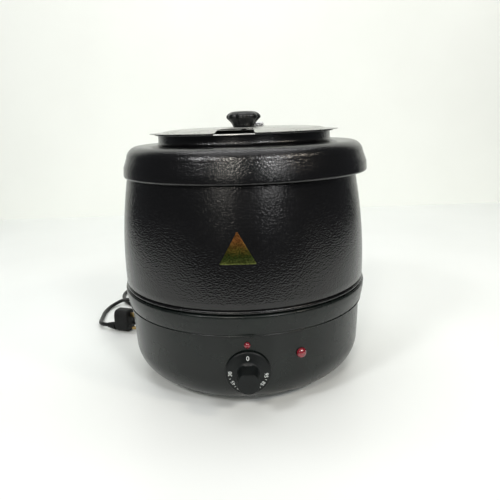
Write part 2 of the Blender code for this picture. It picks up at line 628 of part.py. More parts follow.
def make_rivets(parts, lid, flap):
    top = 0.0010 + 2 * GAP
    low = -LID_SHEET - GAP
    rivet = [(0, top + 0.0012), (0.0018, top + 0.0010), (0.0027, top), (0.0014, top),
             (0.0014, low), (0.0026, low), (0.0022, low - 0.0008), (0, low - 0.0009)]
    for (half, side), (x, y) in rivet_spots().items():
        if half == "front":
            owner, place = flap, (x, y - HINGE_Y, LID_CROWN - HINGE_HEIGHT)
        else:
            owner, place = lid, (x, y, LID_CROWN)
        add_object(f"hinge_rivet_{half}_{side}", turned_mesh(rivet, 10), parts["stainless"],
                   owner, place)


def make_knob(parts, flap):
    """Fluted mushroom knob: lobes fade out towards its foot and its flat top."""
    rows = [(0.0150, 0.0, 0.10), (0.0185, 0.0065, 0.6), (KNOB_RADIUS, 0.0130, 1.0),
            (KNOB_RADIUS * 0.94, 0.0165, 0.9), (KNOB_RADIUS * 0.70, KNOB_HEIGHT - 0.0010, 0.3)]
    sides = KNOB_FLUTES * 6
    bm = bmesh.new()
    rings = []
    for radius, height, strength in rows:
        ring = []
        for i in range(sides):
            angle = 2 * math.pi * i / sides
            lobe = 1 - 0.075 * strength * (1 - abs(math.cos(KNOB_FLUTES * angle / 2)))
            ring.append(bm.verts.new((radius * lobe * math.cos(angle),
                                      radius * lobe * math.sin(angle), height)))
        rings.append(ring)
    for low, high in zip(rings, rings[1:]):
        for i in range(sides):
            j = (i + 1) % sides
            bm.faces.new((low[i], low[j], high[j], high[i]))
    top = bm.verts.new((0, 0, KNOB_HEIGHT))
    for i in range(sides):
        bm.faces.new((rings[-1][i], rings[-1][(i + 1) % sides], top))
    bm.faces.new(list(reversed(rings[0])))
    base = LID_CROWN + GAP - HINGE_HEIGHT
    knob = add_object("lid_knob", bm, parts["phenolic"], flap, (0, -HINGE_Y, base))
    cut_with(knob, "cut_knob_bore", cylinder_mesh(0.0028, 0.024, segments=12), flap,
             (0, -HINGE_Y, base))
    under = LID_CROWN - LID_SHEET - GAP - HINGE_HEIGHT
    washer = [(0.0028, 0), (0.0060, 0), (0.0060, -0.0008), (0.0028, -0.0008)]
    add_object("knob_washer", turned_mesh(washer, 16), parts["plated_steel"], flap,
               (0, -HINGE_Y, under))
    head = -0.0008 - GAP
    screw = [(0, 0.0125), (0.0024, 0.0125), (0.0024, head), (0.0042, head),
             (0.0036, head - 0.0022), (0, head - 0.0024)]
    add_object("knob_screw", turned_mesh(screw, 12), parts["plated_steel"], flap,
               (0, -HINGE_Y, under))


# ---- controls -----------------------------------------------------------------------
def make_dial(parts, dial):
    """Dial made along -Y: a hollow skirt, and a solid grip with one flat side."""
    skirt_back = 0.0012
    grip_length = PANEL_Y - GRIP_END_Y
    outline = [(DIAL_RADIUS - 0.0020, skirt_back), (DIAL_RADIUS, skirt_back), (DIAL_RADIUS, 0.0030),
               (DIAL_RADIUS - 0.0016, 0.0044), (0.0180, 0.0056), (GRIP_RADIUS + 0.0004, 0.0066),
               (GRIP_RADIUS, 0.0080), (GRIP_RADIUS - 0.0006, grip_length - 0.0012),
               (GRIP_RADIUS - 0.0016, grip_length), (0, grip_length), (0, 0.0206 + GAP),
               (0.0033, 0.0206 + GAP), (0.0033, 0.0035), (DIAL_RADIUS - 0.0040, 0.0035)]
    knob = add_object("thermostat_dial", turned_mesh(outline, 32), parts["dial_plastic"], dial,
                      (0, 0, 0), (math.pi / 2, 0, 0))
    flat = 0.0120                        # the grip's flat side is this far above its middle
    cut_with(knob, "cut_grip_flat", box_mesh((0.06, 0.04, 0.03)), dial,
             (0, -0.0068 - 0.02, flat + 0.015))


def lens_outline(radius, flange, neck, rise):
    dome = arc(0, flange, 1.0, 0, 90, 2)
    path = [(radius * r, flange + (z - flange) * rise) for r, z in dome[1:-1]]
    path = [(radius, 0.0), (radius, flange)] + path + [(0, flange + rise)]
    return path + [(0, -0.0042), (neck, -0.0042), (neck, 0.0)]


def make_lamps(parts, root):
    outward = Vector((math.sin(PILOT_ANGLE), -math.cos(PILOT_ANGLE), 0))
    lamps = {"pilot": (outward, bowl_side(PILOT_HEIGHT), PILOT_HEIGHT, 0.0066, 0.0046, 0.0040, 0.0060),
             "index": (Vector((0, -1, 0)), -PANEL_Y, INDEX_HEIGHT, 0.0040, 0.0027, 0.0026, 0.0040)}
    for name, (axis, reach, height, radius, neck, rise, body_radius) in lamps.items():
        place = axis * (reach + GAP)
        add_object(f"{name}_lens", turned_mesh(lens_outline(radius, 0.0012, neck, rise), 16),
                   parts["red_lens"], root, (place.x, place.y, height), pointing(axis))
        depth = 0.0180
        spot = axis * (reach - 0.0042 - depth / 2)
        add_object(f"{name}_lamp_body", cylinder_mesh(body_radius, depth), parts["white_nylon"],
                   root, (spot.x, spot.y, height), pointing(axis))


def make_label(parts, root):
    """Thin foil triangle that follows the barrel's curve."""
    columns = 6
    rise = LABEL_SIDE * math.sqrt(3) / 2
    outer, inner = [], []
    bm = bmesh.new()

    def place(across, up, lift):
        angle = LABEL_ANGLE + across / BELLY_RADIUS
        height = LABEL_BASE + up
        radius = barrel_radius(height) + lift
        return bm.verts.new((radius * math.sin(angle), -radius * math.cos(angle), height))

    for lift, grid in ((GAP, inner), (GAP + 0.00025, outer)):
        for row in range(columns + 1):
            half = LABEL_SIDE / 2 * (1 - row / columns)
            count = columns - row
            grid.append([place(-half + 2 * half * i / max(count, 1), rise * row / columns, lift)
                         for i in range(count + 1)])
    for grid, flip in ((outer, False), (inner, True)):
        for row in range(columns):
            low, high = grid[row], grid[row + 1]
            for i in range(len(high)):
                add_triangle(bm, (low[i], low[i + 1], high[i]), flip)
                if i + 1 < len(high):
                    add_triangle(bm, (low[i + 1], high[i + 1], high[i]), flip)
    rim_pairs = [[(g[0][i], g[0][i + 1]) for i in range(columns)] for g in (inner, outer)]
    rim_pairs[0] += [(inner[r][-1], inner[r + 1][-1]) for r in range(columns)]
    rim_pairs[1] += [(outer[r][-1], outer[r + 1][-1]) for r in range(columns)]
    rim_pairs[0] += [(inner[r + 1][0], inner[r][0]) for r in range(columns)]
    rim_pairs[1] += [(outer[r + 1][0], outer[r][0]) for r in range(columns)]
    for (a, b), (c, d) in zip(*rim_pairs):
        bm.faces.new((a, b, d, c))
    add_object("foil_label", bm, parts["foil"], root)


def add_triangle(bm, corners, flip):
    bm.faces.new(corners[::-1] if flip else corners)


# ---- assembly -----------------------------------------------------------------------
def build_kettle():
    for old in list(bpy.data.objects):
        bpy.data.objects.remove(old, do_unlink=True)
    parts = make_materials()
    root = add_empty("kettle_axis", location=(0, AXIS_SHIFT_Y, 0))
    top = add_empty("top_axis", root, (TOP_SHIFT_X, 0, 0))
    pot = add_empty("pot_axis", top)
    lid = add_empty("lid_axis", pot, rotation=(0, 0, LID_TURN))
    flap = add_empty("flap_hinge_axis", lid, (0, HINGE_Y, HINGE_HEIGHT))
    dial = add_empty("dial_axis", root, (0, PANEL_Y, DIAL_HEIGHT))
    make_top_ring(parts, top)
    make_outer_shell(parts, root)
    make_base_band(parts, root)
    make_base_bowl(parts, root)
    make_bottom_plate(parts, root)
    make_feet(parts, root)
    make_water_tub(parts, top)
    make_soup_pot(parts, pot)
    make_heater(parts, top)
    make_thermostat(parts, root, dial)
    make_dial(parts, dial)
    make_lamps(parts, root)
    make_label(parts, root)
    make_lid(parts, lid, flap)
    make_hinge(parts, lid, flap)
    make_rivets(parts, lid, flap)
    make_knob(parts, flap)
    make_gland(parts, root)
    make_plug(parts, root)
    make_lead(parts, root)


build_kettle()
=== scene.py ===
import math
import bmesh
import bpy
from mathutils import Matrix, Vector


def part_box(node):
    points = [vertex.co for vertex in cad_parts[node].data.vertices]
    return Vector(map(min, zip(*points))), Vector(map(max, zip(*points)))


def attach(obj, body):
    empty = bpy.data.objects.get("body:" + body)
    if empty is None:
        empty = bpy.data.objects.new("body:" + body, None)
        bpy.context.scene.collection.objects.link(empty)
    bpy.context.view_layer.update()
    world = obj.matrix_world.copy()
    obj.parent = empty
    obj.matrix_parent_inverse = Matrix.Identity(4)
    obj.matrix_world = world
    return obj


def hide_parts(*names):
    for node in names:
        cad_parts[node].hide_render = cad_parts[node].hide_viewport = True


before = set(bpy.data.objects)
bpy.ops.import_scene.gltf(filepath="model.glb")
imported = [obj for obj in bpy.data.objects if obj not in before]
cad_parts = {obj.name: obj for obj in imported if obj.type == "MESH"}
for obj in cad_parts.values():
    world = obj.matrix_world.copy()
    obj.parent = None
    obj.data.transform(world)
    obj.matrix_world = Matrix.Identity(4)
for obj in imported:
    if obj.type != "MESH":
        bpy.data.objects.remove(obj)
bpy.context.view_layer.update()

collection = bpy.context.scene.collection


def middleOf(node):
    return Vector([(a + b) / 2 for a, b in zip(*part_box(node))])


kettleAxis = middleOf("outer_shell").xy.to_3d()
topAxis = Vector((middleOf("top_ring").x, kettleAxis.y, 0))  # the top sits a little to one side


# camera

cameraPlace = {
    "location": (0.0014, -0.7190, 0.3617),
    "yaw": 0.6,        # degrees towards +X
    "pitch": -14.60,   # looking slightly down
    "roll": -1.92,
    "lens": 36.0,
    "sensor": 36.0,
}


def makeCamera():
    yaw, pitch = math.radians(cameraPlace["yaw"]), math.radians(cameraPlace["pitch"])
    roll = math.radians(cameraPlace["roll"])
    forward = Vector((math.sin(yaw) * math.cos(pitch), math.cos(yaw) * math.cos(pitch),
                      math.sin(pitch)))
    right = forward.cross(Vector((0, 0, 1))).normalized()
    up = right.cross(forward)
    right, up = (right * math.cos(roll) + up * math.sin(roll),
                 up * math.cos(roll) - right * math.sin(roll))
    lens = bpy.data.cameras.new("camera")
    lens.lens, lens.sensor_width = cameraPlace["lens"], cameraPlace["sensor"]
    lens.clip_start, lens.clip_end = 0.01, 50
    camera = bpy.data.objects.new("camera", lens)
    turn = Matrix((right, up, -forward)).transposed().to_4x4()
    camera.matrix_world = Matrix.Translation(cameraPlace["location"]) @ turn
    collection.objects.link(camera)
    bpy.context.scene.camera = camera


makeCamera()
print("camera placed")


# colours and material building

def linear(code):
    # takes "#rrggbb"
    steps = [int(code[i:i + 2], 16) / 255 for i in (1, 3, 5)]
    return tuple(s / 12.92 if s <= 0.04045 else ((s + 0.055) / 1.055) ** 2.4
                 for s in steps) + (1.0,)


def addNode(tree, kind, settings=None, links=None):
    node = tree.nodes.new("ShaderNode" + kind)
    for key, value in (settings or {}).items():
        if isinstance(key, str) and key not in node.inputs:
            setattr(node, key, value)
        else:
            node.inputs[key].default_value = value
    for key, source in (links or {}).items():
        tree.links.new(source, node.inputs[key])
    return node


def startMaterial(name, colour, roughness, metallic=0.0, ior=None, gloss=0.5):
    made = bpy.data.materials.new(name)
    made.use_nodes = True
    tree = made.node_tree
    shader = tree.nodes["Principled BSDF"]
    shader.inputs["Base Color"].default_value = linear(colour)
    shader.inputs["Roughness"].default_value = roughness
    shader.inputs["Metallic"].default_value = metallic
    shader.inputs["Specular IOR Level"].default_value = gloss
    if ior:
        shader.inputs["IOR"].default_value = ior
    place = addNode(tree, "TexCoord").outputs["Object"]
    return made, tree, place


def linked(made, links):
    # joins patterns to the material's shader
    for key, source in links.items():
        made.node_tree.links.new(source, made.node_tree.nodes["Principled BSDF"].inputs[key])
    return made


def setRamp(node, stops):
    ramp = node.color_ramp
    while len(ramp.elements) > len(stops):
        ramp.elements.remove(ramp.elements[-1])
    while len(ramp.elements) < len(stops):
        ramp.elements.new(0.5)
    for element, (position, colour) in zip(ramp.elements, stops):
        element.position = position
        element.color = linear(colour)
    return node.outputs["Color"]


def perMetre(millimetres):
    return 1000.0 / millimetres


# Hammered powder coat on steel, sprayed and baked: wrinkled dimples 2 mm across, a little
# coarser than the real 1.0 mm so that they show, that break lights into sparkles.
def makeHammeredPowderCoat():
    made, tree, place = startMaterial("hammeredPowderCoat", "#08080a", 0.28, ior=1.50)
    dimples = addNode(tree, "TexVoronoi",
                      {"feature": "SMOOTH_F1", "Scale": perMetre(2.0), "Smoothness": 0.5},
                      {"Vector": place})
    fine = addNode(tree, "TexNoise", {"Scale": perMetre(1.9), "Detail": 1.0}, {"Vector": place})
    both = addNode(tree, "Math", {"operation": "MULTIPLY_ADD", 1: 0.7},
                   {0: fine.outputs["Fac"], 2: dimples.outputs["Distance"]})
    bump = addNode(tree, "Bump", {"Strength": 0.42, "Distance": 0.0006},
                   {"Height": both.outputs[0]})
    dull = addNode(tree, "TexNoise", {"Scale": perMetre(60), "Detail": 2.0}, {"Vector": place})
    rough = addNode(tree, "MapRange", {"To Min": 0.17, "To Max": 0.26},
                    {"Value": dull.outputs["Fac"]})
    tone = addNode(tree, "ValToRGB", None, {"Fac": both.outputs[0]})
    colour = setRamp(tone, [(0.25, "#040405"), (0.95, "#09090a")])
    return linked(made, {"Normal": bump.outputs["Normal"],
                         "Roughness": rough.outputs["Result"],
                         "Base Color": colour})


# Air-dried black enamel on pressed steel: semi-gloss, faint orange peel 4 mm across, slightly
# green-grey where thin, with handling marks that dull it in soft patches.
def makeSatinEnamel():
    made, tree, place = startMaterial("satinEnamel", "#0c0f0e", 0.26, ior=1.42)
    peel = addNode(tree, "TexNoise", {"Scale": perMetre(4.0), "Detail": 2.0}, {"Vector": place})
    bump = addNode(tree, "Bump", {"Strength": 0.06, "Distance": 0.0004},
                   {"Height": peel.outputs["Fac"]})
    smears = addNode(tree, "TexNoise",
                     {"Scale": perMetre(45), "Detail": 4.0, "Distortion": 0.8},
                     {"Vector": place})
    rough = addNode(tree, "MapRange", {"To Min": 0.20, "To Max": 0.34},
                    {"Value": smears.outputs["Fac"]})
    tone = addNode(tree, "ValToRGB", None, {"Fac": smears.outputs["Fac"]})
    colour = setRamp(tone, [(0.30, "#060a09"), (0.75, "#0e1512")])
    return linked(made, {"Normal": bump.outputs["Normal"],
                         "Roughness": rough.outputs["Result"],
                         "Base Color": colour})


# 304 stainless sheet, spun on a lathe and buffed: bright, with hairlines that run in circles
# round the middle, 0.4 mm apart and drawn at 1.2 mm so that they show.
def makeSpunStainless():
    made, tree, place = startMaterial("spunStainless", "#b1b1ae", 0.26, 1.0)
    centred = addNode(tree, "VectorMath",
                      {"operation": "SUBTRACT", 1: (topAxis.x, topAxis.y, 0.0)}, {0: place})
    flatten = addNode(tree, "VectorMath",
                      {"operation": "MULTIPLY", 1: (1.0, 1.0, 0.0)},
                      {0: centred.outputs[0]})
    reach = addNode(tree, "VectorMath", {"operation": "LENGTH"}, {0: flatten.outputs[0]})
    height = addNode(tree, "SeparateXYZ", None, {0: place})
    ringed = addNode(tree, "CombineXYZ", None,
                     {"X": reach.outputs["Value"], "Z": height.outputs["Z"]})
    lines = addNode(tree, "TexNoise", {"Scale": perMetre(1.2), "Detail": 3.0},
                    {"Vector": ringed.outputs[0]})
    bump = addNode(tree, "Bump", {"Strength": 0.05, "Distance": 0.0002},
                   {"Height": lines.outputs["Fac"]})
    marks = addNode(tree, "TexNoise", {"Scale": perMetre(38), "Detail": 5.0}, {"Vector": place})
    mixed = addNode(tree, "Math", {"operation": "MULTIPLY_ADD", 1: 0.35},
                    {0: lines.outputs["Fac"], 2: marks.outputs["Fac"]})
    rough = addNode(tree, "MapRange",
                    {"From Min": 0.3, "From Max": 1.0, "To Min": 0.24, "To Max": 0.32},
                    {"Value": mixed.outputs[0]})
    tone = addNode(tree, "ValToRGB", None, {"Fac": mixed.outputs[0]})
    colour = setRamp(tone, [(0.35, "#a6a6a2"), (0.95, "#bcbcb9")])
    return linked(made, {"Normal": bump.outputs["Normal"],
                         "Roughness": rough.outputs["Result"],
                         "Base Color": colour})


# Mild steel with bright zinc plate: cool grey, dull spots, and a crystalline mottle of about
# 0.5 mm that is drawn at 1.6 mm so that it shows.
def makeZincPlate():
    made, tree, place = startMaterial("zincPlate", "#b9babb", 0.34, 1.0)
    grain = addNode(tree, "TexVoronoi", {"Scale": perMetre(1.6)}, {"Vector": place})
    clouds = addNode(tree, "TexNoise", {"Scale": perMetre(9), "Detail": 4.0}, {"Vector": place})
    mixed = addNode(tree, "Math", {"operation": "MULTIPLY_ADD", 1: 0.3},
                    {0: grain.outputs["Distance"], 2: clouds.outputs["Fac"]})
    rough = addNode(tree, "MapRange", {"To Min": 0.26, "To Max": 0.48},
                    {"Value": mixed.outputs[0]})
    tone = addNode(tree, "ValToRGB", None, {"Fac": mixed.outputs[0]})
    colour = setRamp(tone, [(0.3, "#a3a4a5"), (0.85, "#c9cacb")])
    return linked(made, {"Roughness": rough.outputs["Result"], "Base Color": colour})


# Moulded plastic or rubber: one base colour with faint mottle, a fine spark-eroded grain and
# uneven gloss. The real grain is near 0.2 mm and is drawn at 1.0 to 1.6 mm so that it shows.
def makeMoulded(name, dark, light, roughness, ior, grain, strength, gloss=0.5):
    made, tree, place = startMaterial(name, dark, roughness, ior=ior, gloss=gloss)
    skin = addNode(tree, "TexNoise", {"Scale": perMetre(grain), "Detail": 3.0}, {"Vector": place})
    bump = addNode(tree, "Bump", {"Strength": strength, "Distance": 0.0002},
                   {"Height": skin.outputs["Fac"]})
    clouds = addNode(tree, "TexNoise", {"Scale": perMetre(14), "Detail": 4.0}, {"Vector": place})
    rough = addNode(tree, "MapRange",
                    {"To Min": roughness - 0.07, "To Max": roughness + 0.09},
                    {"Value": clouds.outputs["Fac"]})
    tone = addNode(tree, "ValToRGB", None, {"Fac": clouds.outputs["Fac"]})
    colour = setRamp(tone, [(0.30, dark), (0.72, light)])
    return linked(made, {"Normal": bump.outputs["Normal"],
                         "Roughness": rough.outputs["Result"],
                         "Base Color": colour})


# Clear red polycarbonate, moulded: glossy dome with the lamp's dim glow deep inside it.
def makeRedPolycarbonate():
    made, tree, place = startMaterial("redPolycarbonate", "#94121c", 0.12, ior=1.58)
    shader = tree.nodes["Principled BSDF"]
    swirl = addNode(tree, "TexNoise", {"Scale": perMetre(2.5), "Detail": 2.0}, {"Vector": place})
    depth = addNode(tree, "ValToRGB", None, {"Fac": swirl.outputs["Fac"]})
    colour = setRamp(depth, [(0.30, "#5a0a14"), (0.75, "#982030")])
    rough = addNode(tree, "MapRange", {"To Min": 0.08, "To Max": 0.18},
                    {"Value": swirl.outputs["Fac"]})
    shader.inputs["Coat Weight"].default_value = 0.6
    shader.inputs["Coat Roughness"].default_value = 0.06
    shader.inputs["Subsurface Weight"].default_value = 0.15
    shader.inputs["Subsurface Radius"].default_value = (0.004, 0.0006, 0.0006)
    return linked(made, {"Roughness": rough.outputs["Result"], "Base Color": colour})


# Cartridge brass, machined: warm yellow, a dull tone that is partly handling wear and partly
# painted shade, and turning lines 0.2 mm apart that are drawn 1.3 mm apart so that they show.
def makeMachinedBrass():
    made, tree, place = startMaterial("machinedBrass", "#d0b070", 0.28, 1.0)
    lines = addNode(tree, "TexWave",
                    {"wave_type": "BANDS", "Scale": perMetre(4.0), "Distortion": 1.5,
                     "Detail": 2.0}, {"Vector": place})
    # the darkened brass tone is partly handling wear and partly painted shade on the pins
    tone = addNode(tree, "ValToRGB", None, {"Fac": lines.outputs["Fac"]})
    colour = setRamp(tone, [(0.1, "#8f7848"), (0.9, "#b59c6c")])
    rough = addNode(tree, "MapRange", {"To Min": 0.20, "To Max": 0.38},
                    {"Value": lines.outputs["Fac"]})
    return linked(made, {"Roughness": rough.outputs["Result"], "Base Color": colour})


# Embossed aluminium foil with a translucent printed tint: gold at the tip that turns olive
# green towards the base, with flecks and a swirled engraving whose lines, really 0.9 mm
# apart, are drawn about 4 mm apart so that they show.
def makePrintedFoil():
    low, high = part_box("foil_label")
    made, tree, place = startMaterial("printedFoil", "#a88a35", 0.34, 1.0)
    parts = addNode(tree, "SeparateXYZ", None, {0: place})
    rise = addNode(tree, "MapRange",
                   {"From Min": low[2], "From Max": high[2]}, {"Value": parts.outputs["Z"]})
    swirl = addNode(tree, "TexWave",
                    {"wave_type": "RINGS", "rings_direction": "SPHERICAL",
                     "Scale": perMetre(14.0), "Distortion": 14.0, "Detail": 3.0,
                     "Detail Scale": 2.5}, {"Vector": place})
    flecks = addNode(tree, "TexNoise", {"Scale": perMetre(2.4), "Detail": 4.0}, {"Vector": place})
    shifted = addNode(tree, "Math", {"operation": "MULTIPLY_ADD", 1: 0.50},
                      {0: flecks.outputs["Fac"], 2: rise.outputs["Result"]})
    tone = addNode(tree, "ValToRGB", None, {"Fac": shifted.outputs[0]})
    tint = setRamp(tone, [(0.20, "#7d8248"), (0.48, "#47582a"), (0.68, "#7f7034"),
                          (0.98, "#a96f3d")])
    dark = addNode(tree, "MapRange", {"To Min": 0.45, "To Max": 1.0},
                   {"Value": swirl.outputs["Fac"]})
    inked = addNode(tree, "Mix",
                    {"data_type": "RGBA", "blend_type": "MULTIPLY", "Factor": 1.0},
                    {"A": tint, "B": dark.outputs["Result"]})
    colour = inked.outputs["Result"]
    bump = addNode(tree, "Bump", {"Strength": 0.25, "Distance": 0.0002},
                   {"Height": swirl.outputs["Fac"]})
    return linked(made, {"Normal": bump.outputs["Normal"], "Base Color": colour})


# Screen-printed white ink on the dial: matt, slightly worn through at the edges.
def makeWhitePrint():
    made, tree, place = startMaterial("whitePrint", "#d6dad9", 0.55, ior=1.48)
    worn = addNode(tree, "TexNoise", {"Scale": perMetre(1.2), "Detail": 4.0}, {"Vector": place})
    tone = addNode(tree, "ValToRGB", None, {"Fac": worn.outputs["Fac"]})
    colour = setRamp(tone, [(0.30, "#9da3a2"), (0.55, "#e2e6e4")])
    return linked(made, {"Base Color": colour})


# Matt emulsion on the wall and a pale glazed tile floor: nearly even, faintly clouded.
def makeStudioPaint(name, dark, light, roughness):
    made, tree, place = startMaterial(name, light, roughness)
    clouds = addNode(tree, "TexNoise", {"Scale": perMetre(500), "Detail": 3.0}, {"Vector": place})
    tone = addNode(tree, "ValToRGB", None, {"Fac": clouds.outputs["Fac"]})
    colour = setRamp(tone, [(0.3, dark), (0.7, light)])
    return linked(made, {"Base Color": colour})


hammeredPowderCoat = makeHammeredPowderCoat()
satinEnamel = makeSatinEnamel()
spunStainless = makeSpunStainless()
zincPlate = makeZincPlate()
# pressed phenolic: hard, with the deepest gloss of the black parts
phenolicResin = makeMoulded("phenolicResin", "#080a0a", "#131616", 0.32, 1.58, 1.6, 0.18, 0.30)
# injection-moulded ABS: softer gloss, a touch greyer
dialAbs = makeMoulded("dialAbs", "#0a0c0c", "#141818", 0.40, 1.53, 1.2, 0.20, 0.22)
# moulded rubber: dull, with the finest and strongest grain
mouldedRubber = makeMoulded("mouldedRubber", "#0b0c0c", "#151616", 0.58, 1.52, 1.0, 0.25, 0.25)
# extruded PVC: half dull, nearly smooth
pvcJacket = makeMoulded("pvcJacket", "#0b0d0c", "#171a19", 0.42, 1.53, 1.4, 0.15, 0.30)
# moulded nylon: milky white, half dull
whiteNylon = makeMoulded("whiteNylon", "#cfccc0", "#e0ddd2", 0.48, 1.53, 1.4, 0.12)
redPolycarbonate = makeRedPolycarbonate()
machinedBrass = makeMachinedBrass()
printedFoil = makePrintedFoil()
whitePrint = makeWhitePrint()
print("materials made")


# mesh building

def joinRings(bm, rings, closed=False):
    # skins a row of rings of corners, any of which may be a single point
    for a, b in list(zip(rings, rings[1:])) + ([(rings[-1], rings[0])] if closed else []):
        count = max(len(a), len(b))
        for i in range(count if count > 1 else 0):
            j = (i + 1) % count
            corners = [a[i % len(a)], a[j % len(a)], b[j % len(b)], b[i % len(b)]]
            bm.faces.new([c for k, c in enumerate(corners) if c not in corners[:k]])


def turnedMesh(profile, segments, centre=Vector((0, 0, 0)), closed=True):
    # spins (radius, height) points round the upright axis through centre
    bm = bmesh.new()
    rows = []
    for radius, height in profile:
        if radius < 1e-7:
            rows.append([bm.verts.new((centre.x, centre.y, centre.z + height))])
            continue
        rows.append([bm.verts.new((centre.x + radius * math.cos(2 * math.pi * i / segments),
                                   centre.y + radius * math.sin(2 * math.pi * i / segments),
                                   centre.z + height)) for i in range(segments)])
    joinRings(bm, rows, closed)
    return bm


def curveThrough(points, steps):
    # a smooth line through the points, in as many steps between them
    pts = [Vector(p) for p in points]
    pts = [2 * pts[0] - pts[1]] + pts + [2 * pts[-1] - pts[-2]]
    line = []
    for i in range(1, len(pts) - 2):
        a, b, c, d = pts[i - 1:i + 3]
        for j in range(steps):
            t = j / steps
            line.append(0.5 * ((2 * b) + (c - a) * t + (2 * a - 5 * b + 4 * c - d) * t * t
                               + (3 * b - a - 3 * c + d) * t ** 3))
    line.append(pts[-2])
    return line


def arc(centreR, centreZ, radius, start, end, steps):
    return [(centreR + radius * math.cos(math.radians(start + (end - start) * i / steps)),
             centreZ + radius * math.sin(math.radians(start + (end - start) * i / steps)))
            for i in range(steps + 1)]


def thickened(path, thickness):
    # closed outline of a bent sheet that lies on the right of the path
    points = [Vector(p) for p in path]
    offset = []
    for i, point in enumerate(points):
        before = (point - points[i - 1]).normalized() if i > 0 else None
        after = (points[i + 1] - point).normalized() if i < len(points) - 1 else None
        before = before or after
        after = after or before
        sideBefore = Vector((before.y, -before.x))
        sideAfter = Vector((after.y, -after.x))
        middle = (sideBefore + sideAfter).normalized()
        offset.append(point + middle * (thickness / max(0.4, middle.dot(sideAfter))))
        if abs(point.x) < 1e-9:
            offset[-1].x = 0.0
    return [tuple(p) for p in points + offset[::-1]]


def addMesh(name, bm, material=None):
    mesh = bpy.data.meshes.new(name)
    bm.to_mesh(mesh)
    bm.free()
    if material:
        mesh.materials.append(material)
    made = bpy.data.objects.new(name, mesh)
    collection.objects.link(made)
    return made


def shapedMesh(piece):
    # a plain mesh of the piece as it stands with its modifiers
    bpy.context.view_layer.update()
    return bpy.data.meshes.new_from_object(
        piece.evaluated_get(bpy.context.evaluated_depsgraph_get()))


def addPiece(name, bm, material, body, nodes=(), smooth=32):
    bmesh.ops.recalc_face_normals(bm, faces=bm.faces)
    made = addMesh(name, bm, material)
    made.data.shade_smooth()
    made.data.set_sharp_from_angle(angle=math.radians(smooth))
    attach(made, body)
    if nodes:
        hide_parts(*nodes)
    return made


def placed(bm, matrix):
    bmesh.ops.transform(bm, matrix=matrix, verts=bm.verts)
    return bm


def pointing(axis, place):
    turn = Vector((0, 0, 1)).rotation_difference(Vector(axis)).to_matrix().to_4x4()
    return Matrix.Translation(place) @ turn


def boxMesh(size, bevel=0.0, steps=2):
    bm = bmesh.new()
    bmesh.ops.create_cube(bm, size=1.0, matrix=Matrix.Diagonal((*size, 1.0)))
    if bevel:
        bmesh.ops.bevel(bm, geom=bm.edges[:], offset=bevel, segments=steps, affect="EDGES",
                        profile=0.5)
    return bm


def copiedNode(node):
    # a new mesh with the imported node's own corners, free to be refined
    bm = bmesh.new()
    bm.from_mesh(bpy.data.objects[node].data)
    bmesh.ops.remove_doubles(bm, verts=bm.verts, dist=1e-6)
    bmesh.ops.dissolve_limit(bm, angle_limit=math.radians(1.0), verts=bm.verts,
                             edges=bm.edges)
    return bm


# mains lead: one run from the gland, round the coil and back to the plug

lead = {
    "radius": 0.0035,
    "length": 1.50,
    "coilCentre": (-0.1000, 0.3150),
    "coilWide": 0.0418,      # middle of the outer turns
    "coilNarrow": 0.0339,    # middle of the inner turns
    "coilLow": 0.0053,
    "coilHigh": 0.0133,
    "coilTurns": 3.5,
    "glandAngle": 135.0,
    "glandHeight": 0.0480,
    "reliefLength": 0.0280,
}
plug = {
    "centre": (-0.2210, 0.1175),
    "turn": -20.0,
    "size": (0.0280, 0.0270, 0.0400),
    "bootLength": 0.0170,
    "bootOffset": -0.0050,
    "bootHeight": 0.0085,
    "pinLength": 0.0180,
    "sleeveLength": 0.0092,
    # name, across, height, width, thickness
    "pins": (("live", 0.0100, 0.0110, 0.0062, 0.0040),
             ("neutral", -0.0100, 0.0110, 0.0062, 0.0040),
             ("earth", 0.0, 0.0310, 0.0040, 0.0080)),
}
bowlSide = {"radius": 0.1695, "taper": 0.0017, "corner": 0.0440, "cornerHeight": 0.0510,
            "top": 0.1078}
panelY = -0.1665


def bowlRadius(height):
    radius, taper, corner, low, top = bowlSide.values()
    if height >= low:
        rise = (height - low) / (top - low)
        return radius - taper * (1 - min(rise, 1.0)) ** 2
    drop = low - height
    return radius - taper - corner + math.sqrt(corner ** 2 - drop ** 2)


def plugSpot(along, across, height):
    # along towards the pins, across to the left of them
    turn = math.radians(plug["turn"])
    x, y = plug["centre"]
    return kettleAxis + Vector((x + along * math.cos(turn) - across * math.sin(turn),
                                y + along * math.sin(turn) + across * math.cos(turn), height))


def coilRoute():
    # clockwise from above, wide and low first, then narrow, then up and out again
    cx, cy = lead["coilCentre"]
    points = []
    for degrees in range(0, int(360 * lead["coilTurns"]) + 1, 20):
        wide, high = 1.0, 0.0
        if degrees > 320:
            wide = 1.0 - min(1.0, (degrees - 320) / 40)
        if degrees > 940:
            wide = min(1.0, (degrees - 940) / 60)
        if degrees > 620:
            high = min(1.0, (degrees - 620) / 60)
        wide, high = wide * wide * (3 - 2 * wide), high * high * (3 - 2 * high)
        radius = lead["coilNarrow"] + (lead["coilWide"] - lead["coilNarrow"]) * wide
        height = lead["coilLow"] + (lead["coilHigh"] - lead["coilLow"]) * high
        angle = math.radians(90 - degrees)
        points.append((cx + radius * math.cos(angle), cy + radius * math.sin(angle), height))
    return points


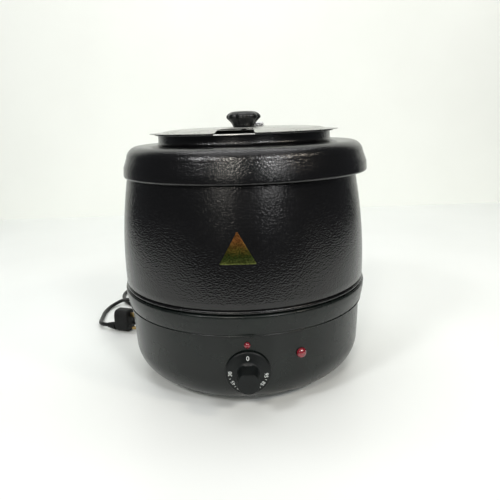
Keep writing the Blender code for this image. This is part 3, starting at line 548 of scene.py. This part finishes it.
def leadRoute():
    floor = lead["radius"] + 0.0004
    hump = floor + 2 * lead["radius"] + 0.0006
    angle = math.radians(lead["glandAngle"])
    outward = Vector((math.cos(angle), math.sin(angle), 0))
    start = outward * (bowlRadius(lead["glandHeight"]) + lead["reliefLength"] + 0.0009)
    start.z = lead["glandHeight"]
    points = [start, start + outward * 0.004, start + outward * 0.012,
              (-0.1690, 0.1700, 0.0350), (-0.1830, 0.1850, 0.0150), (-0.2000, 0.2010, 0.0048),
              (-0.2200, 0.2200, floor), (-0.2385, 0.2410, floor), (-0.2535, 0.2660, floor),
              (-0.2620, 0.2930, floor), (-0.2610, 0.3210, floor), (-0.2460, 0.3440, floor),
              (-0.2190, 0.3560, floor), (-0.1850, 0.3580, 0.0053), (-0.1250, 0.3568, 0.0053)]
    points += coilRoute()
    points += [(-0.1250, 0.2735, 0.0128), (-0.1550, 0.2715, 0.0122), (-0.1850, 0.2650, 0.0118),
               (-0.2140, 0.2540, hump), (-0.2380, 0.2475, hump), (-0.2540, 0.2460, 0.0100),
               (-0.2650, 0.2385, 0.0070), (-0.2730, 0.2270, 0.0048), (-0.2770, 0.2120, floor),
               (-0.2780, 0.1950, floor), (-0.2765, 0.1780, floor), (-0.2745, 0.1600, 0.0044),
               (-0.2715, 0.1430, 0.0058), (-0.2640, 0.1305, 0.0076)]
    route = [kettleAxis + Vector(p) for p in points]
    back = (plugSpot(-1, 0, 0) - plugSpot(0, 0, 0)).normalized()
    bootEnd = plugSpot(-plug["size"][0] / 2 - plug["bootLength"] - 0.0009, plug["bootOffset"],
                       plug["bootHeight"])
    return route + [bootEnd + back * 0.0030, bootEnd]


def makeLead():
    route = leadRoute()
    line = curveThrough(route, 3)
    curve = bpy.data.curves.new("mains_lead", "CURVE")
    curve.dimensions = "3D"
    curve.bevel_depth = lead["radius"]
    curve.bevel_resolution = 4
    curve.use_fill_caps = True
    spline = curve.splines.new("POLY")
    spline.points.add(len(line) - 1)
    for point, place in zip(spline.points, line):
        point.co = (*place, 1.0)
    curve.materials.append(pvcJacket)
    made = bpy.data.objects.new("mains_lead", curve)
    collection.objects.link(made)
    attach(made, "kettle")
    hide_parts("power_lead_inner", "power_lead_coil", "power_lead_outer")
    total = sum((b - a).length for a, b in zip(line, line[1:]))
    print(f"mains lead {total:.3f} m long")
    return made, route[0], total


def makePlug():
    length, width, height = plug["size"]
    turn = Matrix.Rotation(math.radians(plug["turn"]), 4, "Z")
    # body: rounded block, drawn in towards the pins, with finger grooves on both sides
    bm = bmesh.new()
    rows, columns = 14, 28
    rings = []
    for k in range(rows + 1):
        t = k / rows
        along = -length / 2 + length * t
        end = min(1.0, math.sqrt(max(0.0, 1 - (1 - min(t, 0.16) / 0.16) ** 2)) * 0.25 + 0.75)
        far = min(1.0, math.sqrt(max(0.0, 1 - (1 - min(1 - t, 0.10) / 0.10) ** 2)) * 0.12 + 0.88)
        groove = 1 - 0.035 * (1 + math.cos(2 * math.pi * (t - 0.35) / 0.16)) / 2 * (0.2 < t < 0.66)
        halfWide, halfTall = width / 2 * end * far, height / 2 * end * far
        ring = []
        for i in range(columns):
            a = 2 * math.pi * i / columns
            c, s = math.cos(a), math.sin(a)
            across = halfWide * groove * math.copysign(abs(c) ** 0.55, c)
            up = halfTall * math.copysign(abs(s) ** 0.55, s)
            ring.append(bm.verts.new((along, across, up)))
        rings.append(ring)
    joinRings(bm, rings)
    bm.faces.new(rings[0][::-1])
    bm.faces.new(rings[-1])
    placed(bm, Matrix.Translation(plugSpot(0, 0, 0.0003 + height / 2)) @ turn)
    body = addPiece("plug_shell", bm, mouldedRubber, "kettle", ["plug_body"], 50)
    # boot: three ribs that taper towards the lead
    profile = [(0.0, 0.0)]
    for k in range(19):
        t = k / 18
        radius = 0.0076 + (0.0044 - 0.0076) * t
        profile.append((radius * (0.94 if k % 4 in (2, 3) else 1.0), plug["bootLength"] * t))
    profile.append((0.0, plug["bootLength"]))
    backward = plugSpot(-1, 0, 0) - plugSpot(0, 0, 0)
    bm = placed(turnedMesh(profile, 32, closed=False),
                pointing(backward, plugSpot(-length / 2 - 0.0003, plug["bootOffset"],
                                            plug["bootHeight"])))
    boot = addPiece("plug_sleeve", bm, mouldedRubber, "kettle", ["plug_boot"], 50)
    pins = []
    for name, across, up, wide, tall in plug["pins"]:
        bm = placed(boxMesh((plug["pinLength"], wide, tall), bevel=0.0008, steps=3),
                    Matrix.Translation(plugSpot(length / 2 + 0.0093, across, up)) @ turn)
        pins.append(addPiece(f"pin_{name}", bm, machinedBrass, "kettle",
                             [f"plug_pin_{name}"]))
    sleeves = []
    for name, across, up, wide, tall in plug["pins"][:2]:   # the earth pin is bare metal
        bm = placed(boxMesh((plug["sleeveLength"], wide + 0.0006, tall + 0.0006),
                            bevel=0.0010, steps=3),
                    Matrix.Translation(plugSpot(length / 2 + 0.0049, across, up)) @ turn)
        sleeves.append(addPiece(f"pin_sleeve_{name}", bm, mouldedRubber, "kettle"))
    return [body, boot, *pins, *sleeves]


def makeStrainRelief():
    # tapered ribbed sleeve with a flange against the bowl
    angle = math.radians(lead["glandAngle"])
    outward = Vector((math.cos(angle), math.sin(angle), 0))
    place = kettleAxis + outward * (bowlRadius(lead["glandHeight"]) + 0.0006)
    place.z = lead["glandHeight"]
    profile = [(0.0, -0.0050), (0.0063, -0.0050), (0.0063, 0.0), (0.0086, 0.0),
               (0.0090, 0.0005), (0.0090, 0.0021), (0.0086, 0.0025), (0.0064, 0.0029)]
    for k in range(1, 23):
        t = k / 22
        radius = 0.0062 + (0.0046 - 0.0062) * t
        profile.append((radius * (0.90 if k % 4 in (2, 3) and k < 21 else 1.0),
                        0.0030 + 0.0248 * t))
    profile += [(0.0043, 0.0280), (0.0, 0.0280)]
    bm = placed(turnedMesh(profile, 36, closed=False), pointing(outward, place))
    return addPiece("lead_gland", bm, mouldedRubber, "kettle", ["strain_relief"], 50)


coilTie = {"corners": 40, "sheet": 0.0008, "halfWidth": 0.0030, "edge": 0.0004}


def makeTie():
    # flat rubber band round the coil's right side, rounded where it turns over the cords
    sheet, outer, count = coilTie["sheet"], coilTie["halfWidth"], coilTie["corners"]
    inner = outer - coilTie["edge"]
    low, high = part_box("lead_tie")
    middle = middleOf("lead_tie")
    halfX, halfZ = (high[0] - low[0]) / 2, (high[2] - low[2]) / 2
    bm = bmesh.new()
    loops = []
    for inset, wide in ((0.0, inner), (0.0, -inner), (sheet, -outer), (sheet, outer)):
        ring = []
        for i in range(count):
            a = 2 * math.pi * i / count
            c, s = math.cos(a), math.sin(a)
            ring.append(bm.verts.new((
                middle.x + (halfX - inset) * math.copysign(abs(c) ** 0.42, c), middle.y + wide,
                middle.z + (halfZ - inset) * math.copysign(abs(s) ** 0.42, s))))
        loops.append(ring)
    joinRings(bm, loops, True)
    return addPiece("coil_tie", bm, mouldedRubber, "kettle", ["lead_tie"])


leadPiece, leadExit, leadTotal = makeLead()
onLead = makePlug()
makeStrainRelief()
tie = makeTie()
print("lead and plug made")


# ring, barrel and base

shell = {
    "segments": 160,
    "sheet": 0.0012,
    "neckRadius": 0.1205,
    "neckTop": 0.3448,
    "ringTop": 0.3313,
    "ringShoulder": 0.1660,
    "ringCorner": 0.0170,
    "ringRadius": 0.1714,
    "ringBottom": 0.2905,
    "lipCorner": 0.0026,
    "bellyRadius": 0.1741,
    "bellyHeight": 0.1600,
    "sideCurve": 0.660,
    "barrelTop": 0.3000,
    "barrelBottom": 0.1366,
    "beadRadius": 0.0023,
}


def barrelRadius(height):
    return shell["bellyRadius"] - (height - shell["bellyHeight"]) ** 2 / (2 * shell["sideCurve"])


def makeTopRing():
    neck, top, corner = shell["neckRadius"], shell["ringTop"], shell["ringCorner"]
    path = [(neck, shell["neckTop"]), (neck, top + 0.0060), (neck + 0.0003, top + 0.0038),
            (neck + 0.0013, top + 0.0020), (neck + 0.0030, top + 0.0009),
            (neck + 0.0060, top + 0.0003), (neck + 0.0110, top), (0.1400, top)]
    path += arc(shell["ringShoulder"] - corner, top - corner, corner, 90, 6, 14)
    radius, bottom, lip = shell["ringRadius"], shell["ringBottom"], shell["lipCorner"]
    path += [(radius - 0.0009, 0.3040)]
    path += arc(radius - lip, bottom + lip, lip, 12, -90, 8)
    path += [(0.1668, bottom + 0.0003)]
    bm = turnedMesh(thickened(path, shell["sheet"]), shell["segments"], topAxis)
    addPiece("steel_top_ring", bm, hammeredPowderCoat, "kettle",
             ["top_ring"], 50)


def makeBarrel():
    top, bottom, roll = shell["barrelTop"], shell["barrelBottom"], shell["beadRadius"]
    low = bottom + 3.2 * roll
    path = [(0.1400, top), (barrelRadius(top) - 0.002, top), (barrelRadius(top), top - 0.0015)]
    for i in range(1, 21):
        height = top - 0.0015 + (low - top + 0.0015) * i / 20
        path.append((barrelRadius(height), height))
    bead = bottom + 1.2 * roll   # middle of the rolled bead
    path += [(0.1728, bead + 1.25 * roll), (0.1721, bead + 1.02 * roll)]
    path += arc(0.1724, bead, roll, 62, -62, 8)
    path += [(0.1722, bead - 1.0 * roll), (0.1716, bottom), (0.1580, bottom)]
    bm = turnedMesh(thickened(path, shell["sheet"] * 0.75), shell["segments"], kettleAxis)
    addPiece("steel_barrel", bm, hammeredPowderCoat, "kettle",
             ["outer_shell"], 50)


def makeBand():
    top = shell["barrelBottom"] - 0.0006
    depth = top - bowlSide["top"]
    corners = [(0.1762, top - 0.10 * depth), (0.1755, top - 0.42 * depth),
               (0.1735, top - 0.80 * depth), (0.1724, bowlSide["top"] + 0.0028)]
    side = [tuple(p[:2]) for p in curveThrough([(r, z, 0) for r, z in corners], 5)]
    path = [(0.1580, top), (0.1746, top), (0.1754, top - 0.0004), (0.1759, top - 0.0012)]
    path += side + [(0.1722, bowlSide["top"] + 0.0021)]   # the hem is rolled outwards
    path += arc(0.1719, bowlSide["top"] + 0.0010, 0.0010, 55, -90, 8)
    path += [(0.1708, bowlSide["top"]), (0.1700, bowlSide["top"] + 0.0004)]
    bm = turnedMesh(thickened(path, shell["sheet"]), shell["segments"], kettleAxis)
    addPiece("steel_band", bm, satinEnamel, "kettle", ["base_band"], 50)


def makeBowl():
    radius, taper, corner, low, side = bowlSide.values()
    outer = [(radius, shell["barrelBottom"] - 0.0006 - 0.0018), (radius, side)]
    outer += [(bowlRadius(z), z) for z in (0.100, 0.092, 0.084, 0.076, 0.068, 0.060)]
    outer += arc(radius - taper - corner, low, corner, 0, -68, 16)
    outer += [(outer[-1][0] - 0.0006, 0.0095), (outer[-1][0] - 0.0018, 0.0093), (0.1160, 0.0093)]
    profile = thickened(outer, shell["sheet"])
    outside = len(outer)
    segments = 240
    bm = turnedMesh(profile, segments)
    bm.verts.ensure_lookup_table()
    for index, vert in enumerate(bm.verts):   # the front is pressed flat behind the dial
        limit = panelY if index // segments < outside else panelY + shell["sheet"]
        if vert.co.y < limit:
            vert.co.y = limit
    placed(bm, Matrix.Translation(kettleAxis))
    addPiece("steel_bowl", bm, satinEnamel, "kettle", ["base_bowl"], 50)


def makeFeet():
    profile = [(0.0046, 0.0), (0.0094, 0.0), (0.0099, 0.0003), (0.0103, 0.0012),
               (0.0110, 0.0062), (0.0108, 0.0070), (0.0102, 0.0075), (0.0026, 0.0075),
               (0.0026, 0.0036), (0.0040, 0.0036), (0.0046, 0.0030)]
    for side in ("left", "right", "rear"):
        place = middleOf(f"foot_{side}").xy.to_3d()
        addPiece(f"rubber_foot_{side}", turnedMesh(profile, 40, place), mouldedRubber,
                 "kettle", [f"foot_{side}"], 40)


makeTopRing()
makeBarrel()
makeBand()
makeBowl()
makeFeet()
print("body made")


# pot and lid

lid = {
    "turn": -6.0,
    "radius": 0.1318,
    "sheet": 0.0008,
    "crown": 0.3520,
    "flat": 0.3471,
    "splitY": 0.0300,
    "splitGap": 0.0004,
    "notchInner": (-0.0900, 0.0200),
    "notchOuter": (-0.1500, 0.0300),
    "wedgeLow": 0.33,
    "wedgeTall": 0.04,
    "segments": 180,
}


pot = {"radius": 0.1160, "rim": 0.3460, "floor": 0.1120, "corner": 0.012, "sheet": 0.0009}


def makePot():
    radius, rim, floor, corner, sheet = pot.values()
    path = [(0.0, floor), (0.0400, floor), (radius - corner, floor)]
    path += arc(radius - corner, 0.1240, corner, -80, 0, 8)
    path += [(radius, 0.2000), (radius, rim - 0.0030), (radius + 0.0004, rim - 0.0012),
             (radius + 0.0014, rim - 0.0002), (radius + 0.0030, rim), (0.1236, rim)]
    path += arc(0.1239, rim - 0.0011, 0.0011, 70, 0, 3) + [(0.1250, rim - 0.0015)]
    bm = turnedMesh(thickened(path, sheet), 128, topAxis)
    addPiece("steel_pot", bm, spunStainless, "pot", ["soup_pot"], 50)


def lidProfile():
    crown, flat = lid["crown"], lid["flat"]
    path = [(0.0, crown), (0.0300, crown), (0.0600, crown), (0.0850, crown),
            (0.0900, crown - 0.0003), (0.0950, crown - 0.0008), (0.1015, crown - 0.0013),
            (0.1080, crown - 0.0019), (0.1120, flat + 0.0020), (0.1150, flat + 0.0008),
            (0.1175, flat + 0.0002), (0.1200, flat), (0.1260, flat), (lid["radius"], flat)]
    return thickened(path, lid["sheet"])


def keepSide(bm, point, outward):
    # cuts the mesh with a plane, drops what lies outside it and closes the cut
    geometry = bm.verts[:] + bm.edges[:] + bm.faces[:]
    cut = bmesh.ops.bisect_plane(bm, geom=geometry, dist=1e-7, plane_co=point,
                                 plane_no=outward, clear_outer=True)
    edges = [e for e in cut["geom_cut"] if isinstance(e, bmesh.types.BMEdge)]
    bmesh.ops.edgeloop_fill(bm, edges=edges)
    return bm


lidPlace = Matrix.Translation(topAxis) @ Matrix.Rotation(math.radians(lid["turn"]), 4, "Z")


def makeLidHalf(name, body, node, rear):
    sign = 1 if rear else -1
    bm = turnedMesh(lidProfile(), lid["segments"])
    keepSide(bm, (0, lid["splitY"] + sign * lid["splitGap"], 0), (0, -sign, 0))
    placed(bm, lidPlace)
    return addPiece(name, bm, spunStainless, body, [node], 30)


def cutNotch(flap):
    # ladle notch, wider towards the rim, cut with a wedge that is then thrown away
    (innerY, innerHalf), (outerY, outerHalf) = lid["notchInner"], lid["notchOuter"]
    bm = bmesh.new()
    base = bm.faces.new([bm.verts.new((x, y, lid["wedgeLow"])) for x, y in
                         ((-innerHalf, innerY), (innerHalf, innerY), (outerHalf, outerY),
                          (-outerHalf, outerY))])
    raised = bmesh.ops.extrude_face_region(bm, geom=[base])["geom"]
    bmesh.ops.translate(bm, vec=(0, 0, lid["wedgeTall"]),
                        verts=[v for v in raised if isinstance(v, bmesh.types.BMVert)])
    bmesh.ops.recalc_face_normals(bm, faces=bm.faces)
    placed(bm, lidPlace)
    wedge = addMesh("wedge", bm)
    cut = flap.modifiers.new("notch", "BOOLEAN")
    cut.operation, cut.solver, cut.object = "DIFFERENCE", "EXACT", wedge
    shaped = shapedMesh(flap)
    flap.modifiers.clear()
    flap.data = shaped
    bpy.data.objects.remove(wedge, do_unlink=True)
    shaped.set_sharp_from_angle(angle=math.radians(30))


hinge = {"softEdge": 0.00025, "edgeSteps": 2, "edgeAngle": 40}


def makeHinge():
    for node, body in (("hinge_leaf_front", "flap"), ("hinge_leaf_rear", "lid"),
                       ("hinge_pin", "lid")):
        piece = addPiece(f"steel_{node}", copiedNode(node), zincPlate, body,
                         [node], 30)
        edge = piece.modifiers.new("softEdges", "BEVEL")
        edge.width, edge.segments = hinge["softEdge"], hinge["edgeSteps"]
        edge.limit_method, edge.angle_limit = "ANGLE", math.radians(hinge["edgeAngle"])
        edge.harden_normals = False
    dome = [(0.0, 0.0025), (0.0008, 0.00245), (0.0015, 0.0022), (0.0021, 0.0018),
            (0.0025, 0.0012), (0.0027, 0.0006), (0.0027, 0.0005), (0.0014, 0.0005),
            (0.0014, -0.0012), (0.0, -0.0012)]
    for half, body in (("front", "flap"), ("rear", "lid")):
        for side in ("left", "right"):
            node = f"hinge_rivet_{half}_{side}"
            place = middleOf(node)
            place.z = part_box(node)[1][2] - dome[0][1]
            bm = turnedMesh(dome, 24, place, closed=False)
            addPiece(f"steel_{node}", bm, spunStainless, body, [node], 50)


knob = {
    "base": 0.3523,
    "lobes": 8,
    "lobeDepth": 0.085,
}


def makeKnob():
    # (radius, height, how strongly the lobes show)
    rows = [(0.0, 0.0, 0.0), (0.0140, 0.0, 0.05), (0.0150, 0.0006, 0.10),
            (0.0157, 0.0025, 0.25), (0.0172, 0.0050, 0.50), (0.0196, 0.0080, 0.80),
            (0.0226, 0.0108, 1.0), (0.0240, 0.0124, 1.0), (0.0243, 0.0136, 1.0),
            (0.0240, 0.0150, 1.0), (0.0231, 0.0165, 0.9), (0.0213, 0.0182, 0.7),
            (0.0190, 0.0196, 0.5), (0.0165, 0.0206, 0.25), (0.0120, 0.0212, 0.05),
            (0.0060, 0.0216, 0.0), (0.0, 0.0217, 0.0)]
    sides = knob["lobes"] * 14
    turn = math.radians(lid["turn"])
    bm = bmesh.new()
    rings = []
    for radius, height, strength in rows:
        if radius == 0.0:
            rings.append([bm.verts.new((topAxis.x, topAxis.y, knob["base"] + height))])
            continue
        ring = []
        for i in range(sides):
            a = 2 * math.pi * i / sides
            lobe = 1 - knob["lobeDepth"] * strength * (1 - abs(math.cos(knob["lobes"] * a / 2)))
            ring.append(bm.verts.new((topAxis.x + radius * lobe * math.cos(a + turn),
                                      topAxis.y + radius * lobe * math.sin(a + turn),
                                      knob["base"] + height)))
        rings.append(ring)
    joinRings(bm, rings)
    addPiece("phenolic_knob", bm, phenolicResin, "flap", ["lid_knob"], 60)


makePot()
makeLidHalf("steel_lid_rear", "lid", "lid_rear", True)
frontHalf = makeLidHalf("steel_lid_flap", "flap", "lid_flap", False)
cutNotch(frontHalf)
makeHinge()
makeKnob()
print("pot and lid made")


# dial, lamps and label

dial = {
    "height": 0.0585,
    "radius": 0.0288,
    "grip": 0.0139,
    "gripEnd": -0.1975,
    "flat": 0.0120,
    # degrees anticlockwise from the top, distance from the middle, size, number
    "numbers": ((0, 0.0206, 0.0082, "0"), (88, 0.0222, 0.0068, "30"),
                (121, 0.0222, 0.0064, "45"), (149, 0.0222, 0.0064, "55"),
                (176, 0.0222, 0.0064, "65"), (203, 0.0222, 0.0064, "75"),
                (232, 0.0222, 0.0064, "85"), (263, 0.0222, 0.0068, "95")),
    "ticks": (105, 135, 162, 190, 217, 248),
    "tickReach": 0.0236,
    "tickSize": (0.0005, 0.0022, 0.00016),
    "skirtTilt": 7.4,
}


def makeDial():
    reach = panelY - dial["gripEnd"]
    grip, rim = dial["grip"], dial["radius"]
    profile = [(0.0, 0.0240), (0.0033, 0.0240), (0.0033, 0.0035), (rim - 0.0040, 0.0035),
               (rim - 0.0020, 0.0013), (rim - 0.0004, 0.0012), (rim, 0.0016), (rim, 0.0030),
               (rim - 0.0005, 0.0038), (rim - 0.0016, 0.0044),
               (0.0225, 0.0050), (0.0180, 0.0056), (grip + 0.0010, 0.0061),
               (grip + 0.0003, 0.0068), (grip, 0.0080), (grip, 0.0140), (grip, 0.0240),
               (grip, reach - 0.0011), (grip - 0.0002, reach - 0.0005),
               (grip - 0.0006, reach - 0.0001), (grip - 0.0011, reach),
               (grip - 0.0060, reach - 0.0001), (0.0, reach - 0.0002)]
    bm = turnedMesh(profile, 96, closed=False)
    for vert in bm.verts:          # one side of the grip is flat
        if vert.co.z > 0.0075 and vert.co.y > dial["flat"] and math.hypot(*vert.co.xy) > 0.005:
            vert.co.y = dial["flat"]
    place = kettleAxis + Vector((0, panelY, dial["height"]))
    turn = Matrix.Rotation(math.pi / 2, 4, "X")
    placed(bm, Matrix.Translation(place) @ turn)
    addPiece("dial_moulding", bm, dialAbs, "dial", ["thermostat_dial"], 40)


def printPlace(angle, reach, depth):
    # on the skirt's front, upright towards the rim
    a = math.radians(angle)
    out = Vector((-math.sin(a), 0, math.cos(a)))
    across = Vector((math.cos(a), 0, math.sin(a)))
    tilt = math.radians(dial["skirtTilt"])
    normal = (Vector((0, -1, 0)) * math.cos(tilt) + out * math.sin(tilt)).normalized()
    up = normal.cross(across)
    place = kettleAxis + Vector((0, panelY - depth, dial["height"])) + out * reach
    turn = Matrix((across, up, normal)).transposed().to_4x4()
    return Matrix.Translation(place) @ turn


def makeDialPrint():
    for angle, reach, size, word in dial["numbers"]:
        text = bpy.data.curves.new(f"dial_number_{word}", "FONT")
        text.body = word
        text.size = size
        text.align_x, text.align_y = "CENTER", "CENTER"
        text.extrude = 0.00008
        holder = bpy.data.objects.new("holder", text)
        collection.objects.link(holder)
        bm = bmesh.new()
        bm.from_mesh(shapedMesh(holder))
        bpy.data.objects.remove(holder, do_unlink=True)
        placed(bm, printPlace(angle, reach, 0.00518 + (0.0222 - reach) * 0.13))
        addPiece(f"dial_number_{word}", bm, whitePrint, "dial")
    bm = bmesh.new()
    for angle in dial["ticks"]:
        tick = boxMesh(dial["tickSize"])
        placed(tick, printPlace(angle, dial["tickReach"], 0.00492))
        mesh = bpy.data.meshes.new("tick")
        tick.to_mesh(mesh)
        tick.free()
        bm.from_mesh(mesh)
        bpy.data.meshes.remove(mesh)
    addPiece("dial_ticks", bm, whitePrint, "dial")


lamps = {
    "pilot": {"angle": 23.5, "height": 0.0769, "radius": 0.0066, "neck": 0.0046,
              "rise": 0.0040},
    "index": {"angle": 0.0, "height": 0.0949, "radius": 0.0040, "neck": 0.0027,
              "rise": 0.0026},
}


def makeLens(name, facts):
    angle = math.radians(facts["angle"])
    outward = Vector((math.sin(angle), -math.cos(angle), 0))
    reach = -panelY if name == "index" else bowlRadius(facts["height"])
    place = kettleAxis + outward * (reach + 0.0003)
    place.z = facts["height"]
    radius, flange = facts["radius"], 0.0012
    profile = [(0.0, -0.0042), (facts["neck"], -0.0042), (facts["neck"], 0.0),
               (radius - 0.0003, 0.0), (radius, 0.0003), (radius, flange - 0.0002)]
    for i in range(10):
        a = math.radians(6 + 84 * i / 9)
        profile.append((radius * 0.97 * math.cos(a) if i < 9 else 0.0,
                        flange + facts["rise"] * math.sin(a)))
    bm = placed(turnedMesh(profile, 40, closed=False), pointing(outward, place))
    addPiece(f"{name}_dome", bm, redPolycarbonate, "kettle", [f"{name}_lens"], 40)


label = {"side": 0.0448, "base": 0.1996, "angle": -2.4, "corner": 0.0010, "rows": 24,
         "columns": 16, "lift": 0.00052, "thickness": 0.00018}


def makeLabel():
    rise = label["side"] * math.sqrt(3) / 2
    rows, columns, corner = label["rows"], label["columns"], label["corner"]
    bm = bmesh.new()

    def spot(across, up):
        angle = math.radians(label["angle"]) + across / shell["bellyRadius"]
        height = label["base"] + up
        radius = barrelRadius(height) + label["lift"]
        return bm.verts.new((kettleAxis.x + radius * math.sin(angle),
                             kettleAxis.y - radius * math.cos(angle), height))

    grid = []
    for row in range(rows + 1):
        half = label["side"] / 2 * (1 - row / rows)
        if row == 0:
            half -= corner
        if row == rows:
            half = corner * 0.35
        up = rise * row / rows - (corner if row == rows else 0)
        grid.append([spot(-half + 2 * half * i / columns, up) for i in range(columns + 1)])
    for a, b in zip(grid, grid[1:]):
        for i in range(columns):
            bm.faces.new((a[i], a[i + 1], b[i + 1], b[i]))
    piece = addPiece("foil_triangle", bm, printedFoil, "kettle", ["foil_label"], 60)
    body = piece.modifiers.new("thickness", "SOLIDIFY")
    body.thickness, body.offset = label["thickness"], -1


makeDial()
makeDialPrint()
for lampName, lampFacts in lamps.items():
    makeLens(lampName, lampFacts)
makeLabel()
print("controls made")


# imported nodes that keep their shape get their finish

keptFinish = {
    "plated_steel": zincPlate,
    "stainless": spunStainless,
    "hammered_black": hammeredPowderCoat,
    "smooth_black": satinEnamel,
    "phenolic": phenolicResin,
    "dial_plastic": dialAbs,
    "red_lens": redPolycarbonate,
    "rubber": mouldedRubber,
    "cord_jacket": pvcJacket,
    "brass": machinedBrass,
    "foil": printedFoil,
    "white_nylon": whiteNylon,
}


def finishNodes():
    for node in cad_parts:
        piece = bpy.data.objects[node]
        for place in piece.material_slots:
            for slotName, finish in keptFinish.items():
                if place.material and place.material.name.split(".")[0].endswith(slotName):
                    place.material = finish
                    break
            else:
                print("no finish for", node)


finishNodes()


# floor, backdrop and light

studio = {
    "floorLight": "#ebeeec",
    "floorDark": "#e5e8e6",
    "wallLight": "#f2f5f0",
    "wallDark": "#edf0eb",
    "wallY": 1.30,
    "wallHalf": 1.50,
    "floorHalf": 1.30,
    "floorFront": -0.62,
    "backdrop": "#fafbf8",       # what is seen past the floor and the wall
    "roomColour": "#e9edf2",     # the dim room that the kettle's front mirrors
    "roomStrength": 0.11,
    "ceiling": (((-1.50, -1.60, 1.90), (0.44, 0.36), 21, "#ffffff"),
                ((-0.55, -2.30, 1.90), (0.40, 0.44), 20, "#fffaf0"),
                ((1.10, -2.10, 1.85), (0.52, 0.36), 25, "#ffffff"),
                ((2.00, -1.40, 1.95), (0.34, 0.30), 14, "#fff3e0"),
                ((-0.75, -2.40, 1.08), (0.26, 0.22), 3.2, "#fffaf0"),
                ((1.20, -2.40, 1.05), (0.44, 0.26), 4.5, "#ffffff")),
    "overhead": ((0.0, -0.25, 2.60), (2.6, 2.2), 24),
    "wallWash": ((0.0, 0.50, 2.30), (2.6, 0.6), 15),
}


def stageMesh(name, corners, material):
    bm = bmesh.new()
    bm.faces.new([bm.verts.new(c) for c in corners])
    addMesh(name, bm, material)


def addAreaLight(name, place, aim, size, power, colour="#ffffff"):
    lamp = bpy.data.lights.new(name, "AREA")
    lamp.shape = "RECTANGLE"
    lamp.size, lamp.size_y = size
    lamp.energy = power
    lamp.color = linear(colour)[:3]
    made = bpy.data.objects.new(name, lamp)
    made.location = place
    made.rotation_euler = (Vector(aim) - Vector(place)).to_track_quat("-Z", "Y").to_euler()
    collection.objects.link(made)


def makeStudio():
    half, front, y = studio["floorHalf"], studio["floorFront"], studio["wallY"]
    stageMesh("floor", ((-half, front, 0), (half, front, 0), (half, y, 0), (-half, y, 0)),
              makeStudioPaint("floorTile", studio["floorDark"], studio["floorLight"], 0.45))
    half = studio["wallHalf"]
    stageMesh("wall", ((-half, y, 0), (half, y, 0), (half, y, 2.6), (-half, y, 2.6)),
              makeStudioPaint("wallPaint", studio["wallDark"], studio["wallLight"], 0.8))
    world = bpy.data.worlds.new("studioRoom")
    world.use_nodes = True
    tree = world.node_tree
    room = tree.nodes["Background"]
    room.inputs["Color"].default_value = linear(studio["roomColour"])
    room.inputs["Strength"].default_value = studio["roomStrength"]
    backdrop = addNode(tree, "Background",
                       {"Color": linear(studio["backdrop"]), "Strength": 1.0})
    ray = addNode(tree, "LightPath")
    both = addNode(tree, "MixShader", None,
                   {0: ray.outputs["Is Camera Ray"], 1: room.outputs[0],
                    2: backdrop.outputs[0]})
    tree.links.new(both.outputs[0], tree.nodes["World Output"].inputs["Surface"])
    bpy.context.scene.world = world
    for index, (place, size, power, colour) in enumerate(studio["ceiling"]):
        addAreaLight(f"ceiling_{index}", place, (0, 0, 0.25), size, power, colour)
    place, size, power = studio["overhead"]
    addAreaLight("overhead", place, (0, 0, 0), size, power)
    place, size, power = studio["wallWash"]
    addAreaLight("wallWash", place, (0, studio["wallY"], 0.6), size, power)
    bpy.context.scene.view_settings.view_transform = "Standard"


makeStudio()
print("studio made")

bpy.context.view_layer.update()
